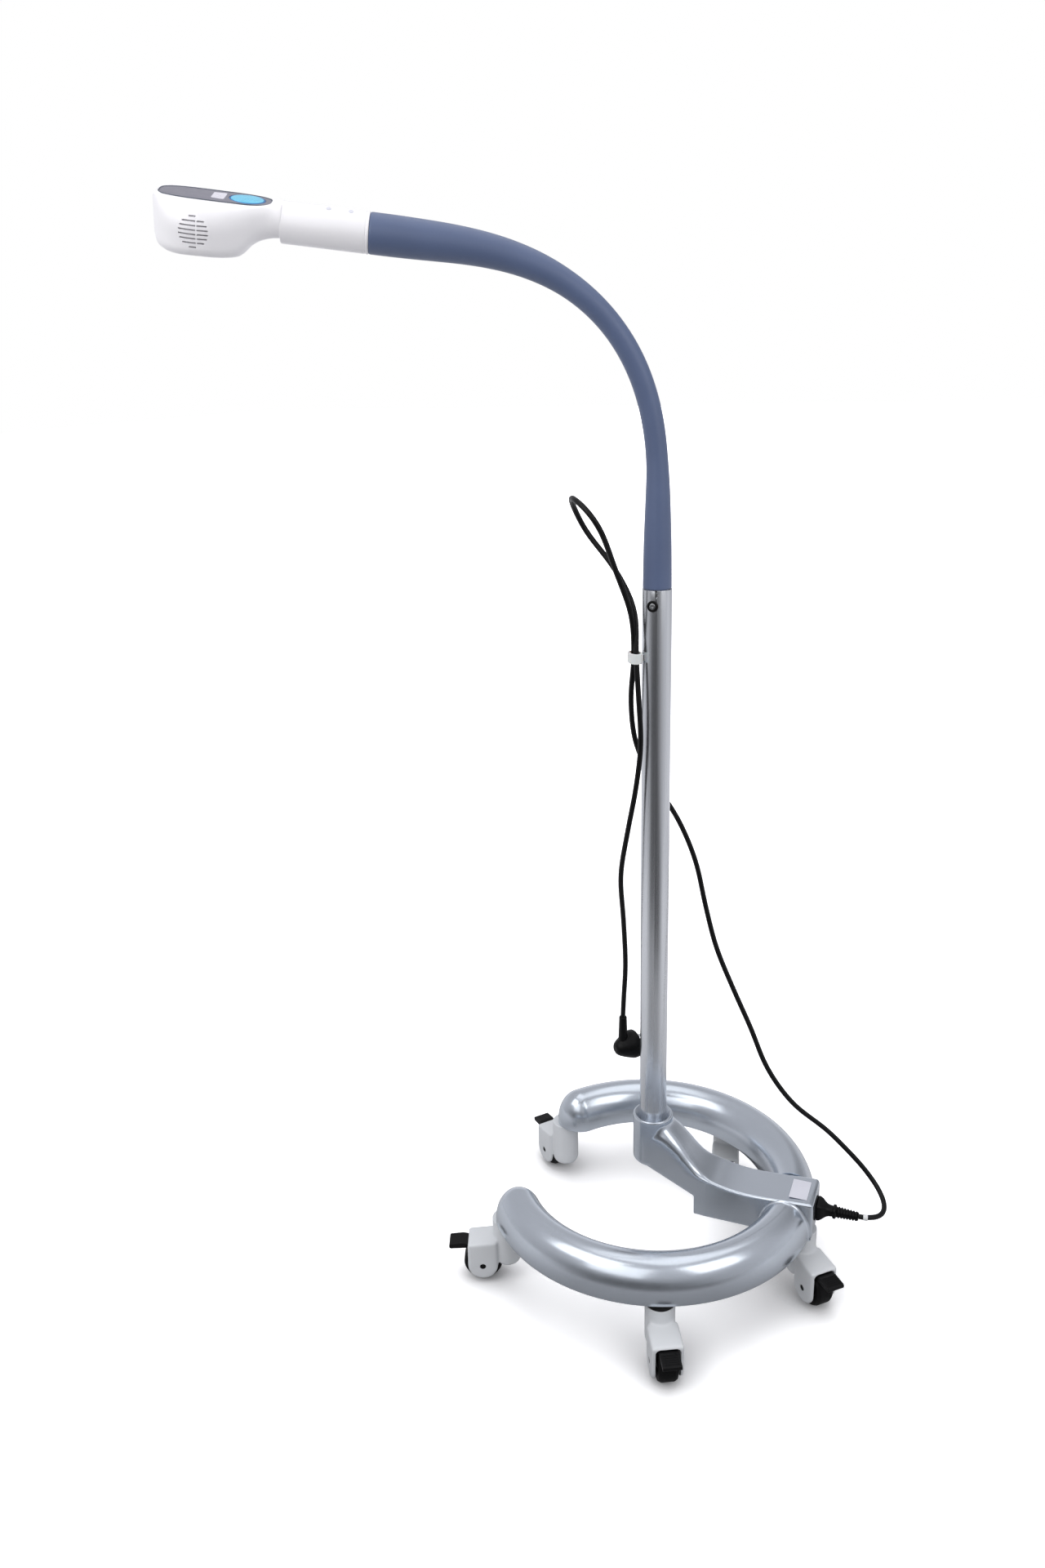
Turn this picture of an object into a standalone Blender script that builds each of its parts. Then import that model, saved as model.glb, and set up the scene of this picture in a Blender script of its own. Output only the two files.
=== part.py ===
"""Mobile examination lamp on a five-caster C base (metres, +Z up, floor at Z = 0)."""
import bpy
import bmesh
import numpy as np
from math import pi, sin, cos, tan, asin, sqrt, radians
from mathutils import Matrix, Vector

# ---------------------------------------------------------------- dimensions
ORIGIN = (-0.10991, -0.02164)                 # column axis -> middle of the footprint box
FIT = 0.0003                        # gap between touching pieces

FLOOR_Z = 0.0125                    # floor, in the heights used below
RING_CX = -0.0023                   # middle of the legs' circle
RING_R = 0.190                      # base legs: centreline radius
RING_W = 0.0312                     # half width of the leg section
RING_Z0 = 0.104                     # underside of the legs
RING_ZS = 0.1110                    # where the rounded top starts
RING_HB = 0.0441                    # height of the rounded top
RING_END = 140.0                    # angle of the dome centre at each leg's end
LEG_WALL = 0.004

BOX_HW = 0.0300                     # arm housing half width
BOX_TOP = 0.1580
BOX_X0 = 0.0650
BOX_X1 = 0.2208
SOCKET_R = 0.0263
SOCKET_TOP = 0.2310
SOCKET_BOT = 0.1600

COL_R = 0.0175
COL_WALL = 0.0020
COL_BOT = 0.1705
COL_TOP = 0.9360

GN_AZ = 204.2                       # compass angle of the gooseneck's plane
GN_L0, GN_L1 = 0.0863, 0.5220       # where the bend starts and ends
GN_TURN = 82.0                      # total bend, degrees
GN_L = 0.5766                       # length above the column
GN_J = [0.045, 0.171, 0.297, 0.423, 0.550]   # bending stations
CORE_R = 0.0068
END_SLOPE = tan(radians(15.6))
HEAD_ROLL = 20.0
NECK_LEN = 0.0915
NECK_R = 0.0206

STEM_XY = [(0.2051, -0.0046), (0.0640, -0.1895), (-0.1694, -0.1170), (-0.1694, 0.1170), (0.0590, 0.1960)]
CASTER_TRAIL = [-46.0, -63.0, -159.0, 140.0, -78.0]   # way each wheel trails
TRAIL = 0.0330
WHEEL_R = 0.0257
WHEEL_W = 0.0240
HOOD_HW = 0.0198
HOOD_TOP = 0.0610
NECK_CR = 0.0190
WASHER_R = 0.0188
STEM_TOP = 0.1200

CORD_D = 0.0066

# ---------------------------------------------------------------- scene
for o in list(bpy.data.objects):
    bpy.data.objects.remove(o, do_unlink=True)
for block in (bpy.data.meshes, bpy.data.curves, bpy.data.materials):
    for item in list(block):
        block.remove(item)
for c in list(bpy.data.collections):
    bpy.data.collections.remove(c)
PARTS = bpy.data.collections.new("examination_lamp")
TOOLS = bpy.data.collections.new("cutters")
bpy.context.scene.collection.children.link(PARTS)
bpy.context.scene.collection.children.link(TOOLS)


def material(name, rgb, rough, metal=0.0):
    m = bpy.data.materials.new(name)
    m.use_nodes = True
    b = m.node_tree.nodes["Principled BSDF"]
    b.inputs["Base Color"].default_value = (*rgb, 1.0)
    b.inputs["Roughness"].default_value = rough
    b.inputs["Metallic"].default_value = metal
    return m


SILVER = material("silver_paint", (0.52, 0.54, 0.58), 0.32, 0.7)
ALU = material("satin_aluminium", (0.60, 0.61, 0.63), 0.3, 1.0)
STEEL = material("bright_steel", (0.55, 0.55, 0.56), 0.3, 1.0)
IRON = material("ballast_steel", (0.20, 0.20, 0.21), 0.6, 0.9)
WHITE = material("white_plastic", (0.86, 0.86, 0.88), 0.35)
HOODW = material("hood_plastic", (0.72, 0.73, 0.74), 0.4)
BLACK = material("black_plastic", (0.012, 0.012, 0.013), 0.5)
TYRE = material("tyre_rubber", (0.010, 0.010, 0.011), 0.7)
SLEEVE = material("sleeve_rubber", (0.115, 0.15, 0.25), 0.5)
GREY = material("panel_grey", (0.25, 0.25, 0.28), 0.4)
BLUE = material("button_blue", (0.12, 0.54, 0.77), 0.3)
GLASS = material("lens_clear", (0.9, 0.92, 0.95), 0.05)
BOARD = material("board_white", (0.75, 0.78, 0.72), 0.5)
NYLON = material("clip_nylon", (0.85, 0.85, 0.85), 0.45)


def link(obj, mat=None, coll=PARTS):
    coll.objects.link(obj)
    if mat:
        obj.data.materials.clear()
        obj.data.materials.append(mat)
    return obj


def empty(name, matrix):
    e = bpy.data.objects.new(name, None)
    e.empty_display_size = 0.02
    PARTS.objects.link(e)
    e.matrix_world = matrix
    return e


ROOT_M = Matrix.Translation((-ORIGIN[0], -ORIGIN[1], -FLOOR_Z))
ROOT = empty("lamp_root", ROOT_M)


def settle(obj):
    """Apply the modifiers so that later cuts work on plain mesh."""
    bpy.context.view_layer.update()
    dg = bpy.context.evaluated_depsgraph_get()
    me = bpy.data.meshes.new_from_object(obj.evaluated_get(dg))
    old = obj.data
    obj.modifiers.clear()
    if obj.type == "MESH":
        obj.data = me
        return obj
    new = bpy.data.objects.new(obj.name + "_m", me)
    new.matrix_world = obj.matrix_world
    for c in obj.users_collection:
        c.objects.link(new)
    nm = obj.name
    bpy.data.objects.remove(obj, do_unlink=True)
    bm = bmesh.new()
    bm.from_mesh(new.data)
    bmesh.ops.remove_doubles(bm, verts=bm.verts, dist=1e-6)
    bmesh.ops.recalc_face_normals(bm, faces=bm.faces)
    bm.to_mesh(new.data)
    bm.free()
    new.name = nm
    return new


def place(obj, frame, mat):
    """Hang a piece, modelled in the frame's own axes, on that frame's empty."""
    obj.parent = frame
    obj.matrix_parent_inverse = Matrix.Identity(4)
    obj.matrix_basis = Matrix.Identity(4)
    obj.data.materials.clear()
    obj.data.materials.append(mat)
    return obj


def mesh_obj(name, bm, coll=PARTS):
    bmesh.ops.recalc_face_normals(bm, faces=bm.faces)
    me = bpy.data.meshes.new(name)
    bm.to_mesh(me)
    bm.free()
    return link(bpy.data.objects.new(name, me), None, coll)


def loft(name, rings, coll=PARTS, close=False):
    """Skin equal-length closed loops; the ends are capped unless the loft closes on itself."""
    bm = bmesh.new()
    vs = [[bm.verts.new(p) for p in r] for r in rings]
    n = len(rings[0])
    pairs = list(zip(vs[:-1], vs[1:])) + ([(vs[-1], vs[0])] if close else [])
    for a, b in pairs:
        for i in range(n):
            bm.faces.new((a[i], a[(i + 1) % n], b[(i + 1) % n], b[i]))
    if not close:
        bm.faces.new(vs[0])
        bm.faces.new(vs[-1])
    return mesh_obj(name, bm, coll)


def turned(name, profile, steps=24, coll=PARTS, closed=False, half_step=False):
    """Turn a profile of (radius, height) about local Z with a Screw modifier."""
    me = bpy.data.meshes.new(name)
    n = len(profile)
    a0 = pi / steps if half_step else 0.0
    pts = [(r * cos(a0), r * sin(a0), z) for r, z in profile]
    edges = [(i, i + 1) for i in range(n - 1)] + ([(n - 1, 0)] if closed else [])
    me.from_pydata(pts, edges, [])
    o = link(bpy.data.objects.new(name, me), None, coll)
    s = o.modifiers.new("turn", "SCREW")
    s.axis = "Z"
    s.angle = 2 * pi
    s.steps = s.render_steps = steps
    s.use_merge_vertices = True
    s.merge_threshold = 1e-6
    s.use_smooth_shade = False
    s.use_normal_calculate = True
    settle(o)
    bm = bmesh.new()
    bm.from_mesh(o.data)
    bmesh.ops.remove_doubles(bm, verts=bm.verts, dist=1e-7)
    bmesh.ops.recalc_face_normals(bm, faces=bm.faces)
    bm.to_mesh(o.data)
    bm.free()
    return o


def box(name, lo, hi, bevel=0.0, segs=1, coll=PARTS):
    bm = bmesh.new()
    bmesh.ops.create_cube(bm, size=1.0)
    for v in bm.verts:
        for k in range(3):
            v.co[k] = lo[k] if v.co[k] < 0 else hi[k]
    o = mesh_obj(name, bm, coll)
    if bevel:
        b = o.modifiers.new("edge", "BEVEL")
        b.width = bevel
        b.segments = segs
        b.limit_method = "NONE"
        settle(o)
    return o


def cyl(name, r, p0, p1, n=20, coll=TOOLS, turn=0.0):
    p0, p1 = Vector(p0), Vector(p1)
    bm = bmesh.new()
    bmesh.ops.create_cone(bm, cap_ends=True, segments=n, radius1=r, radius2=r, depth=(p1 - p0).length)
    q = (p1 - p0).normalized().to_track_quat("Z", "Y").to_matrix().to_4x4()
    bmesh.ops.transform(bm, matrix=Matrix.Translation((p0 + p1) / 2) @ q @ Matrix.Rotation(turn, 4, "Z"), verts=bm.verts)
    return mesh_obj(name, bm, coll)


def outline(name, pts, z0, z1, coll=PARTS):
    """A flat outline, extruded from z0 to z1."""
    cu = bpy.data.curves.new(name, "CURVE")
    cu.dimensions = "2D"
    cu.fill_mode = "BOTH"
    cu.extrude = (z1 - z0) / 2
    sp = cu.splines.new("POLY")
    sp.points.add(len(pts) - 1)
    for p, (x, y) in zip(sp.points, pts):
        p.co = (x, y, 0, 1)
    sp.use_cyclic_u = True
    o = bpy.data.objects.new(name, cu)
    coll.objects.link(o)
    o = settle(o)
    o.data.transform(Matrix.Translation((0, 0, (z0 + z1) / 2)))
    return o


def combine(obj, op, *others):
    for t in others:
        m = obj.modifiers.new("cut", "BOOLEAN")
        m.operation = op
        m.solver = "EXACT"
        m.object = t
        t.hide_render = True
        t.display_type = "WIRE"
        settle(obj)
        bpy.data.objects.remove(t, do_unlink=True)
    bm = bmesh.new()
    bm.from_mesh(obj.data)
    bmesh.ops.remove_doubles(bm, verts=bm.verts, dist=2e-6)
    bmesh.ops.dissolve_degenerate(bm, edges=bm.edges, dist=1e-6)
    bm.to_mesh(obj.data)
    bm.free()
    return obj


def cut(obj, *others):
    return combine(obj, "DIFFERENCE", *others)


def join(obj, *others):
    return combine(obj, "UNION", *others)


def copy_of(src, name):
    return link(bpy.data.objects.new(name, src.data.copy()))


# ---------------------------------------------------------------- base legs
def leg_section(k, w, z0, zs, hb, n=9):
    """Inverted-U section, outer wall to inner wall; k narrows it towards the domed end."""
    pts = [(w * k, z0)]
    pts += [(w * k * cos(t), zs + hb * k * sin(t)) for t in np.linspace(0, pi, n)]
    pts.append((-w * k, z0))
    return pts


def leg_rings(side, w, z0, zs, hb, end_w, a_end, steps=22, dome=4, y0=BOX_HW + FIT, n=9):
    rings = []
    for i in range(steps + 1):
        t = i / steps
        ring = []
        for u, z in leg_section(1.0, w, z0, zs, hb, n):
            r = RING_R + u
            a = asin(y0 / r)
            a = a + (radians(a_end) - a) * t
            ring.append((RING_CX + r * cos(a), side * r * sin(a), z))
        rings.append(ring)
    for j in range(1, dome + 1):
        d = sin(j / dome * radians(83.0))
        k = sqrt(1 - d * d)
        a = radians(a_end) + d * end_w / RING_R
        rings.append([(RING_CX + (RING_R + u) * cos(a), side * (RING_R + u) * sin(a), z)
                      for u, z in leg_section(k, w, z0, zs, hb, n)])
    return rings


stem_xy = STEM_XY
bars = []
for name, side in (("front", -1), ("back", 1)):
    leg = loft("base_leg_" + name, leg_rings(side, RING_W, RING_Z0, RING_ZS, RING_HB, RING_W, RING_END))
    wi = RING_W - LEG_WALL
    core = loft("leg_core", leg_rings(side, wi, RING_Z0 - 0.01, RING_ZS, RING_HB - LEG_WALL, 0.012, RING_END - 2,
                                      steps=18, dome=2, y0=BOX_HW + 0.006, n=7), TOOLS)
    cut(leg, core)
    for i, (x, y) in enumerate(stem_xy):
        if y * side > 0.02 and x < 0:
            cut(leg, cyl("s%d" % i, 0.0054, (x, y, RING_Z0 - 0.01), (x, y, STEM_TOP + 0.0004), 12))
    place(leg, ROOT, SILVER)
    wb = wi - 0.0018
    sec = [(wb, RING_Z0 + 0.001), (wb, RING_ZS + 0.004), (wb - 0.004, RING_ZS + 0.018),
           (-wb + 0.004, RING_ZS + 0.018), (-wb, RING_ZS + 0.004), (-wb, RING_Z0 + 0.001)]
    rings = []
    for a in np.linspace(15.0, RING_END - 3.5, 19):
        rings.append([(RING_CX + (RING_R + u) * cos(radians(a)), side * (RING_R + u) * sin(radians(a)), z) for u, z in sec])
    bar = loft("ballast_bar_" + name, rings)
    for i, (x, y) in enumerate(stem_xy):
        if y * side > 0.02:
            cut(bar, cyl("h%d" % i, 0.0054, (x, y, RING_Z0 - 0.01), (x, y, STEM_TOP + 0.0004), 12))
    place(bar, ROOT, IRON)

# ---------------------------------------------------------------- arm housing and column
def smooth(x, xs, ys):
    """Monotone-ish Hermite interpolation through the driving points."""
    xs, ys = np.asarray(xs, float), np.asarray(ys, float)
    d = np.gradient(ys, xs)
    i = int(np.clip(np.searchsorted(xs, x) - 1, 0, len(xs) - 2))
    h = xs[i + 1] - xs[i]
    t = min(max((x - xs[i]) / h, 0), 1)
    return float((2 * t**3 - 3 * t * t + 1) * ys[i] + (t**3 - 2 * t * t + t) * h * d[i]
                 + (-2 * t**3 + 3 * t * t) * ys[i + 1] + (t**3 - t * t) * h * d[i + 1])


def arm_section(x, n=6):
    """Cross-section of the swooping arm at x: flat sides, crowned top, small bottom edges."""
    top = smooth(x, [0.0, 0.022, 0.034, 0.046, 0.058, 0.070, 0.084, 0.100, 0.22],
                 [0.224, 0.222, 0.213, 0.200, 0.184, 0.171, 0.1625, BOX_TOP, BOX_TOP])
    bot = 0.1600 - 0.438 * max(x, 0.0) if x < BOX_X0 else RING_Z0
    hw = 0.0255 + (BOX_HW - 0.0255) * min(max(x / 0.08, 0), 1)
    crown = 0.020 - 0.0168 * min(max((x - 0.035) / 0.055, 0), 1)
    pts = [(-hw + 0.003, bot), (hw - 0.003, bot), (hw, bot + 0.003)]
    ca, cb = min(crown * 1.1, hw - 0.002), crown
    pts += [(hw - ca + ca * cos(t), top - cb + cb * sin(t)) for t in np.linspace(0, pi / 2, n)]
    pts += [(-hw + ca - ca * sin(t), top - cb + cb * cos(t)) for t in np.linspace(0, pi / 2, n)]
    pts.append((-hw, bot + 0.003))
    return [(x, y, z) for y, z in pts]


xs = [0.0, 0.012, 0.022, 0.030, 0.038, 0.046, 0.054, 0.0625, BOX_X0 - 0.0002, BOX_X0, 0.072, 0.080, 0.090, 0.105, BOX_X1 - 0.0025]
rings = [arm_section(x) for x in xs]
last = [(BOX_X1, y * 0.93, RING_Z0 + 0.002 + (z - RING_Z0 - 0.002) * 0.97) for x, y, z in rings[-1]]
housing = loft("arm_housing", rings + [last])
sock = turned("socket", [(0.0, SOCKET_TOP - 0.004), (SOCKET_R - 0.006, SOCKET_TOP - 0.004), (SOCKET_R - 0.0045, SOCKET_TOP - 0.0006),
                         (SOCKET_R - 0.0025, SOCKET_TOP), (SOCKET_R, SOCKET_TOP - 0.0025), (SOCKET_R, SOCKET_BOT + 0.006),
                         (SOCKET_R - 0.002, SOCKET_BOT + 0.0015), (SOCKET_R - 0.006, SOCKET_BOT), (0.0, SOCKET_BOT)], 32, TOOLS)
join(housing, sock)
cut(housing, cyl("bore", COL_R + FIT, (0, 0, COL_BOT - 0.0005), (0, 0, 0.26), 28),
    cyl("passage", 0.005, (-0.002, 0, 0.1735), (0.082, 0, 0.1460), 12),
    box("cavity", (0.0720, -0.0255, 0.09), (0.1860, 0.0255, 0.1520), coll=TOOLS),
    box("inlet_cut", (0.1850, -0.0142, 0.1235), (0.23, 0.0142, 0.1455), coll=TOOLS),
    cyl("stem_hole", 0.0054, (*stem_xy[0], 0.09), (*stem_xy[0], STEM_TOP + 0.0004), 12))
place(housing, ROOT, SILVER)

cover = box("housing_cover", (0.0723, -0.0252, RING_Z0 + 0.0004), (0.1857, 0.0252, RING_Z0 + 0.0028))
place(cover, ROOT, IRON)
psu = box("power_supply", (0.0780, -0.0215, 0.1100), (0.1600, 0.0215, 0.1450), 0.002, 1)
place(psu, ROOT, BLACK)

inlet = box("power_inlet", (0.1900, -0.0138, 0.1239), (BOX_X1 + 0.0015, 0.0138, 0.1451), 0.0015, 1)
cut(inlet, box("inlet_well", (0.2020, -0.0118, 0.1262), (0.24, 0.0118, 0.1428), coll=TOOLS))
place(inlet, ROOT, BLACK)

column = turned("column", [(COL_R - COL_WALL, COL_TOP - 0.0005), (COL_R - 0.0005, COL_TOP), (COL_R, COL_TOP - 0.0008), (COL_R, COL_BOT),
                           (COL_R - COL_WALL, COL_BOT)], 32, closed=True)
SCREW_Z = COL_TOP - 0.0175
SLOT_A = radians(-78.0)
cut(column, cyl("screw_hole", 0.0034, (0, -0.03, SCREW_Z), (0, -0.005, SCREW_Z), 12),
    cyl("slot", 0.0014, (0.010 * cos(SLOT_A), 0.010 * sin(SLOT_A), COL_TOP - 0.009), (0.022 * cos(SLOT_A), 0.022 * sin(SLOT_A), COL_TOP - 0.009), 8),
    )
slot = box("slot_box", (0.010, -0.0014, COL_TOP - 0.009), (0.022, 0.0014, COL_TOP + 0.01), coll=TOOLS)
slot.data.transform(Matrix.Rotation(SLOT_A, 4, "Z"))
cut(column, slot)
place(column, ROOT, ALU)

screw = turned("clamp_screw", [(0.0, 0.0022), (0.0032, 0.0022), (0.0034, 0.0034), (0.0055, 0.0034), (0.0064, 0.0024), (0.0064, 0.0),
                               (0.0030, 0.0), (0.0030, -0.0075), (0.0, -0.0075)], 16)
screw.data.transform(Matrix.Translation((0, -0.0178, SCREW_Z)) @ Matrix.Rotation(pi / 2, 4, "X"))
place(screw, ROOT, BLACK)

# ---------------------------------------------------------------- gooseneck
S_DIR = Vector((cos(radians(GN_AZ)), sin(radians(GN_AZ)), 0.0))
B_DIR = Vector((0, 0, 1)).cross(S_DIR)
N_STEP = 1200
_l = np.linspace(0.0, 0.70, N_STEP + 1)
_u = np.clip((_l - GN_L0) / (GN_L1 - GN_L0), 0, 1)
_th = pi / 2 - radians(GN_TURN) * (3 * _u**2 - 2 * _u**3)
_d = _l[1] - _l[0]
_s = np.concatenate([[0], np.cumsum(np.cos(_th[:-1]) * _d)])
_z = COL_TOP + np.concatenate([[0], np.cumsum(np.sin(_th[:-1]) * _d)])


def gn_frame(l):
    """Frame on the gooseneck's centreline: X along it, Y across the bending plane."""
    s, z, th = np.interp(l, _l, _s), np.interp(l, _l, _z), np.interp(l, _l, _th)
    x = S_DIR * cos(th) + Vector((0, 0, sin(th)))
    n = x.cross(B_DIR)
    m = Matrix((x, B_DIR, n)).transposed().to_4x4()
    m.translation = S_DIR * s + Vector((0, 0, z + min(l, 0.0)))
    return m


def sleeve_r(l):
    return smooth(l, [0.0, 0.05, 0.10, 0.14, 0.19, 0.25, 0.31, 0.36, 0.41, 0.46, 0.51, 0.545, 0.60],
                  [0.0168, 0.0160, 0.0142, 0.0125, 0.0122, 0.0122, 0.0125, 0.0135, 0.0155, 0.0177, 0.0196, 0.0204, 0.0205])


def neck_tube(name, l0, l1, c0, c1, r_out, r_in, frame_inv, n=16, per=0.014):
    """Bent tube (or rod when r_in is None) along the centreline; c0/c1 slope the ends inwards."""
    steps = max(2, int((l1 - l0) / per))
    ls = np.linspace(l0, l1, steps + 1)

    def ring(l, r, lean):
        f = gn_frame(l + lean * r)
        return [frame_inv @ f @ Vector((0, r * cos(t), r * sin(t))) for t in np.linspace(0, 2 * pi, n, endpoint=False)]

    rings = []
    for i, l in enumerate(ls):
        lean = c0 * END_SLOPE if i == 0 else (-c1 * END_SLOPE if i == steps else 0.0)
        rings.append(ring(l, r_out(l) if callable(r_out) else r_out, lean))
    if r_in is None:
        return loft(name, rings)
    back = []
    for i, l in enumerate(reversed(ls)):
        j = steps - i
        lean = c0 * END_SLOPE if j == 0 else (-c1 * END_SLOPE if j == steps else 0.0)
        back.append(ring(l, r_in, lean))
    return loft(name, rings + back, close=True)


JG = 0.0006
gn_empty = []
for k, l in enumerate(GN_J):
    gn_empty.append(empty("bend_%d" % (k + 1), ROOT_M @ gn_frame(l)))

boot = neck_tube("gooseneck_boot", FIT, GN_J[0] - JG, 0, 1, sleeve_r, CORE_R + 0.0004, Matrix.Identity(4))
place(boot, ROOT, SLEEVE)
ferrule = turned("gooseneck_ferrule", [(0.0055, COL_TOP - 0.002), (0.0150, COL_TOP - 0.002), (0.0151, COL_TOP - 0.004), (0.0151, COL_TOP - 0.070),
                                       (0.0055, COL_TOP - 0.070)], 24, closed=True)
stub = neck_tube("stub", -0.004, GN_J[0] - JG, 0, 1, CORE_R, 0.0035, Matrix.Identity(4), 12)
TOOLS.objects.link(stub)
cut(ferrule, cyl("screw_seat", 0.0034, (0, -0.03, SCREW_Z), (0, -0.0095, SCREW_Z), 12))
join(ferrule, stub)
place(ferrule, ROOT, STEEL)

for k in range(4):
    inv = gn_frame(GN_J[k]).inverted()
    seg = neck_tube("gooseneck_sleeve_%d" % (k + 1), GN_J[k] + JG, GN_J[k + 1] - JG, 1, 1, sleeve_r, CORE_R + 0.0004, inv)
    place(seg, gn_empty[k], SLEEVE)
    cor = neck_tube("gooseneck_core_%d" % (k + 1), GN_J[k] + JG, GN_J[k + 1] - JG, 1, 1, CORE_R, None, inv, 10, 0.02)
    place(cor, gn_empty[k], STEEL)

inv = gn_frame(GN_J[4]).inverted()
tip = neck_tube("gooseneck_tip", GN_J[4] + JG, GN_L - FIT, 1, 0, sleeve_r, CORE_R + 0.0004, inv)
place(tip, gn_empty[4], SLEEVE)

# ---------------------------------------------------------------- head (modelled along the neck's own axes)
END_M = gn_frame(GN_L)
HEAD_M = END_M @ Matrix.Translation((NECK_LEN, 0, 0)) @ Matrix.Rotation(radians(-HEAD_ROLL), 4, "X")
head_e = gn_empty[4]
to_head = gn_frame(GN_J[4]).inverted() @ HEAD_M
to_neck = gn_frame(GN_J[4]).inverted() @ END_M


def on_head(obj, mat, frame=None):
    obj.data.transform(frame or to_head)
    return place(obj, head_e, mat)


AX = Matrix.Rotation(pi / 2, 4, "Y")        # turned about local X
stub = neck_tube("neck_insert", GN_J[4] + JG, GN_L + 0.004, 1, 0, CORE_R, None, inv, 12)
plug = turned("neck_plug", [(0.0, 0.030), (0.0160, 0.030), (0.0175, 0.028), (0.0175, 0.002), (0.0, 0.002)], 20, TOOLS)
plug.data.transform(to_neck @ AX)
join(stub, plug)
place(stub, head_e, ALU)
neck = turned("neck_sleeve", [(NECK_R - 0.0028, NECK_LEN - FIT), (NECK_R - 0.0004, NECK_LEN - FIT), (NECK_R, NECK_LEN - 0.0008), (NECK_R, 0.0012),
                              (NECK_R - 0.0008, 0.0), (NECK_R - 0.0028, 0.0)], 28, closed=True)
on_head(neck, WHITE, to_neck @ AX)

HB_X, HB_R = 0.0845, 0.0458


def head_section(x, n=5):
    """Flat top, long soft shoulders, straight sides and rounded lower edges."""
    hb = smooth(x, [0.0, 0.006, 0.0125, 0.020, 0.030, 0.040, 0.050, 0.060, 0.075, HB_X],
                [0.0200, 0.0203, 0.0216, 0.0250, 0.0302, 0.0347, 0.0388, 0.0420, 0.0450, HB_R]) if x < HB_X else sqrt(max(HB_R**2 - (x - HB_X)**2, 4e-5))
    nt = smooth(x, [0.0, 0.008, 0.02, 0.05, 0.10, 0.118, 0.1255, 0.1303], [0.0200, 0.0186, 0.0176, 0.0173, 0.0173, 0.0173, 0.0165, 0.0125])
    nb = smooth(x, [0.0, 0.004, 0.010, 0.016, 0.022, 0.028, 0.034, 0.040, 0.046, 0.052, 0.080, 0.120, 0.1265, 0.1303],
                [-0.0150, -0.0150, -0.0157, -0.0170, -0.0191, -0.0227, -0.0287, -0.0326, -0.0336, -0.0338, -0.0334, -0.0334, -0.0320, -0.0285])
    zs = smooth(x, [0.0, 0.0125, 0.030, 0.050, 0.14], [0.0025, 0.0, -0.004, -0.008, -0.008])
    fl = min(smooth(x, [0.0, 0.0125, 0.020, 0.030, 0.045, 0.14], [0.0060, 0.0125, 0.0172, 0.0205, 0.0218, 0.0218]), hb * 0.75)
    rb = min(smooth(x, [0.0, 0.0125, 0.030, 0.050, 0.14], [0.0172, 0.0155, 0.0150, 0.0120, 0.0120]), hb * 0.98, zs - nb - 1e-4)
    ca, cb = hb - fl, nt - zs
    pts = []
    for cy, cz, ra, rz, a0 in ((fl, zs, ca, cb, 0), (-fl, zs, ca, cb, 90), (-hb + rb, nb + rb, rb, rb, 180), (hb - rb, nb + rb, rb, rb, 270)):
        pts += [(x, cy + ra * cos(radians(a0 + t)), cz + rz * sin(radians(a0 + t))) for t in np.linspace(0, 90, n)]
    return pts


hx = [0.0, 0.006, 0.0125, 0.020, 0.028, 0.036, 0.045, 0.056, 0.070, HB_X, 0.096, 0.107, 0.116, 0.1230, 0.1275, 0.1303]
shell = loft("head_shell", [head_section(x) for x in hx])
PAN_X, PAN_A, PAN_B, PAN_P = 0.0670, 0.0573, 0.0203, 3.4
BTN_X, BTN_A, BTN_B = 0.0346, 0.0185, 0.0160


def oval(cx, a, b, p=2.0, n=36):
    out = []
    for t in np.linspace(0, 2 * pi, n, endpoint=False):
        c, s = cos(t), sin(t)
        out.append((cx + a * abs(c)**(2 / p) * (1 if c >= 0 else -1), b * abs(s)**(2 / p) * (1 if s >= 0 else -1)))
    return out


P_TOP = 0.0173
cut(shell, outline("pan_cut", oval(PAN_X, PAN_A + FIT, PAN_B + FIT, PAN_P), P_TOP - 0.0028, 0.03, TOOLS),
    outline("btn_cut", oval(BTN_X, BTN_A + FIT, BTN_B + FIT), P_TOP - 0.0062, 0.03, TOOLS),
    cyl("cavity", 0.0398, (HB_X, 0, -0.06), (HB_X, 0, -0.0065), 36),
    cyl("cavity_top", 0.0300, (HB_X, 0, -0.02), (HB_X, 0, 0.0110), 30),
    cyl("wire_bore", 0.008, (-0.004, 0, -0.003), (0.060, 0, -0.003), 14))
on_head(shell, WHITE)
panel = outline("top_panel", oval(PAN_X, PAN_A, PAN_B, PAN_P), P_TOP - 0.0025, P_TOP - 0.0001)
cut(panel, outline("btn_hole", oval(BTN_X, BTN_A + FIT, BTN_B + FIT), P_TOP - 0.01, 0.03, TOOLS))
on_head(panel, GREY)
BTN_M = ROOT_M @ HEAD_M @ Matrix.Translation((BTN_X, 0, P_TOP))
btn_e = empty("button_travel", BTN_M)
button = outline("sensor_button", oval(0, BTN_A, BTN_B, n=28), -0.0040, 0.0008)
place(button, btn_e, BLUE)
sink = turned("heat_sink", [(0.0, 0.0005), (0.010, 0.0005), (0.010, 0.0085), (0.0125, 0.0085), (0.0125, 0.0005), (0.018, 0.0005), (0.018, 0.0085),
                            (0.0205, 0.0085), (0.0205, 0.0005), (0.0262, 0.0005), (0.0262, 0.0085), (0.0287, 0.0085), (0.0287, -0.0040), (0.0, -0.0040)], 20)
on_head(sink, ALU, to_head @ Matrix.Translation((HB_X, 0, 0)))
led = turned("led_board", [(0.0, -0.0043), (0.0285, -0.0043), (0.0285, -0.0060), (0.0085, -0.0060), (0.0078, -0.0078), (0.0045, -0.0090), (0.0, -0.0094)], 20)
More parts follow.
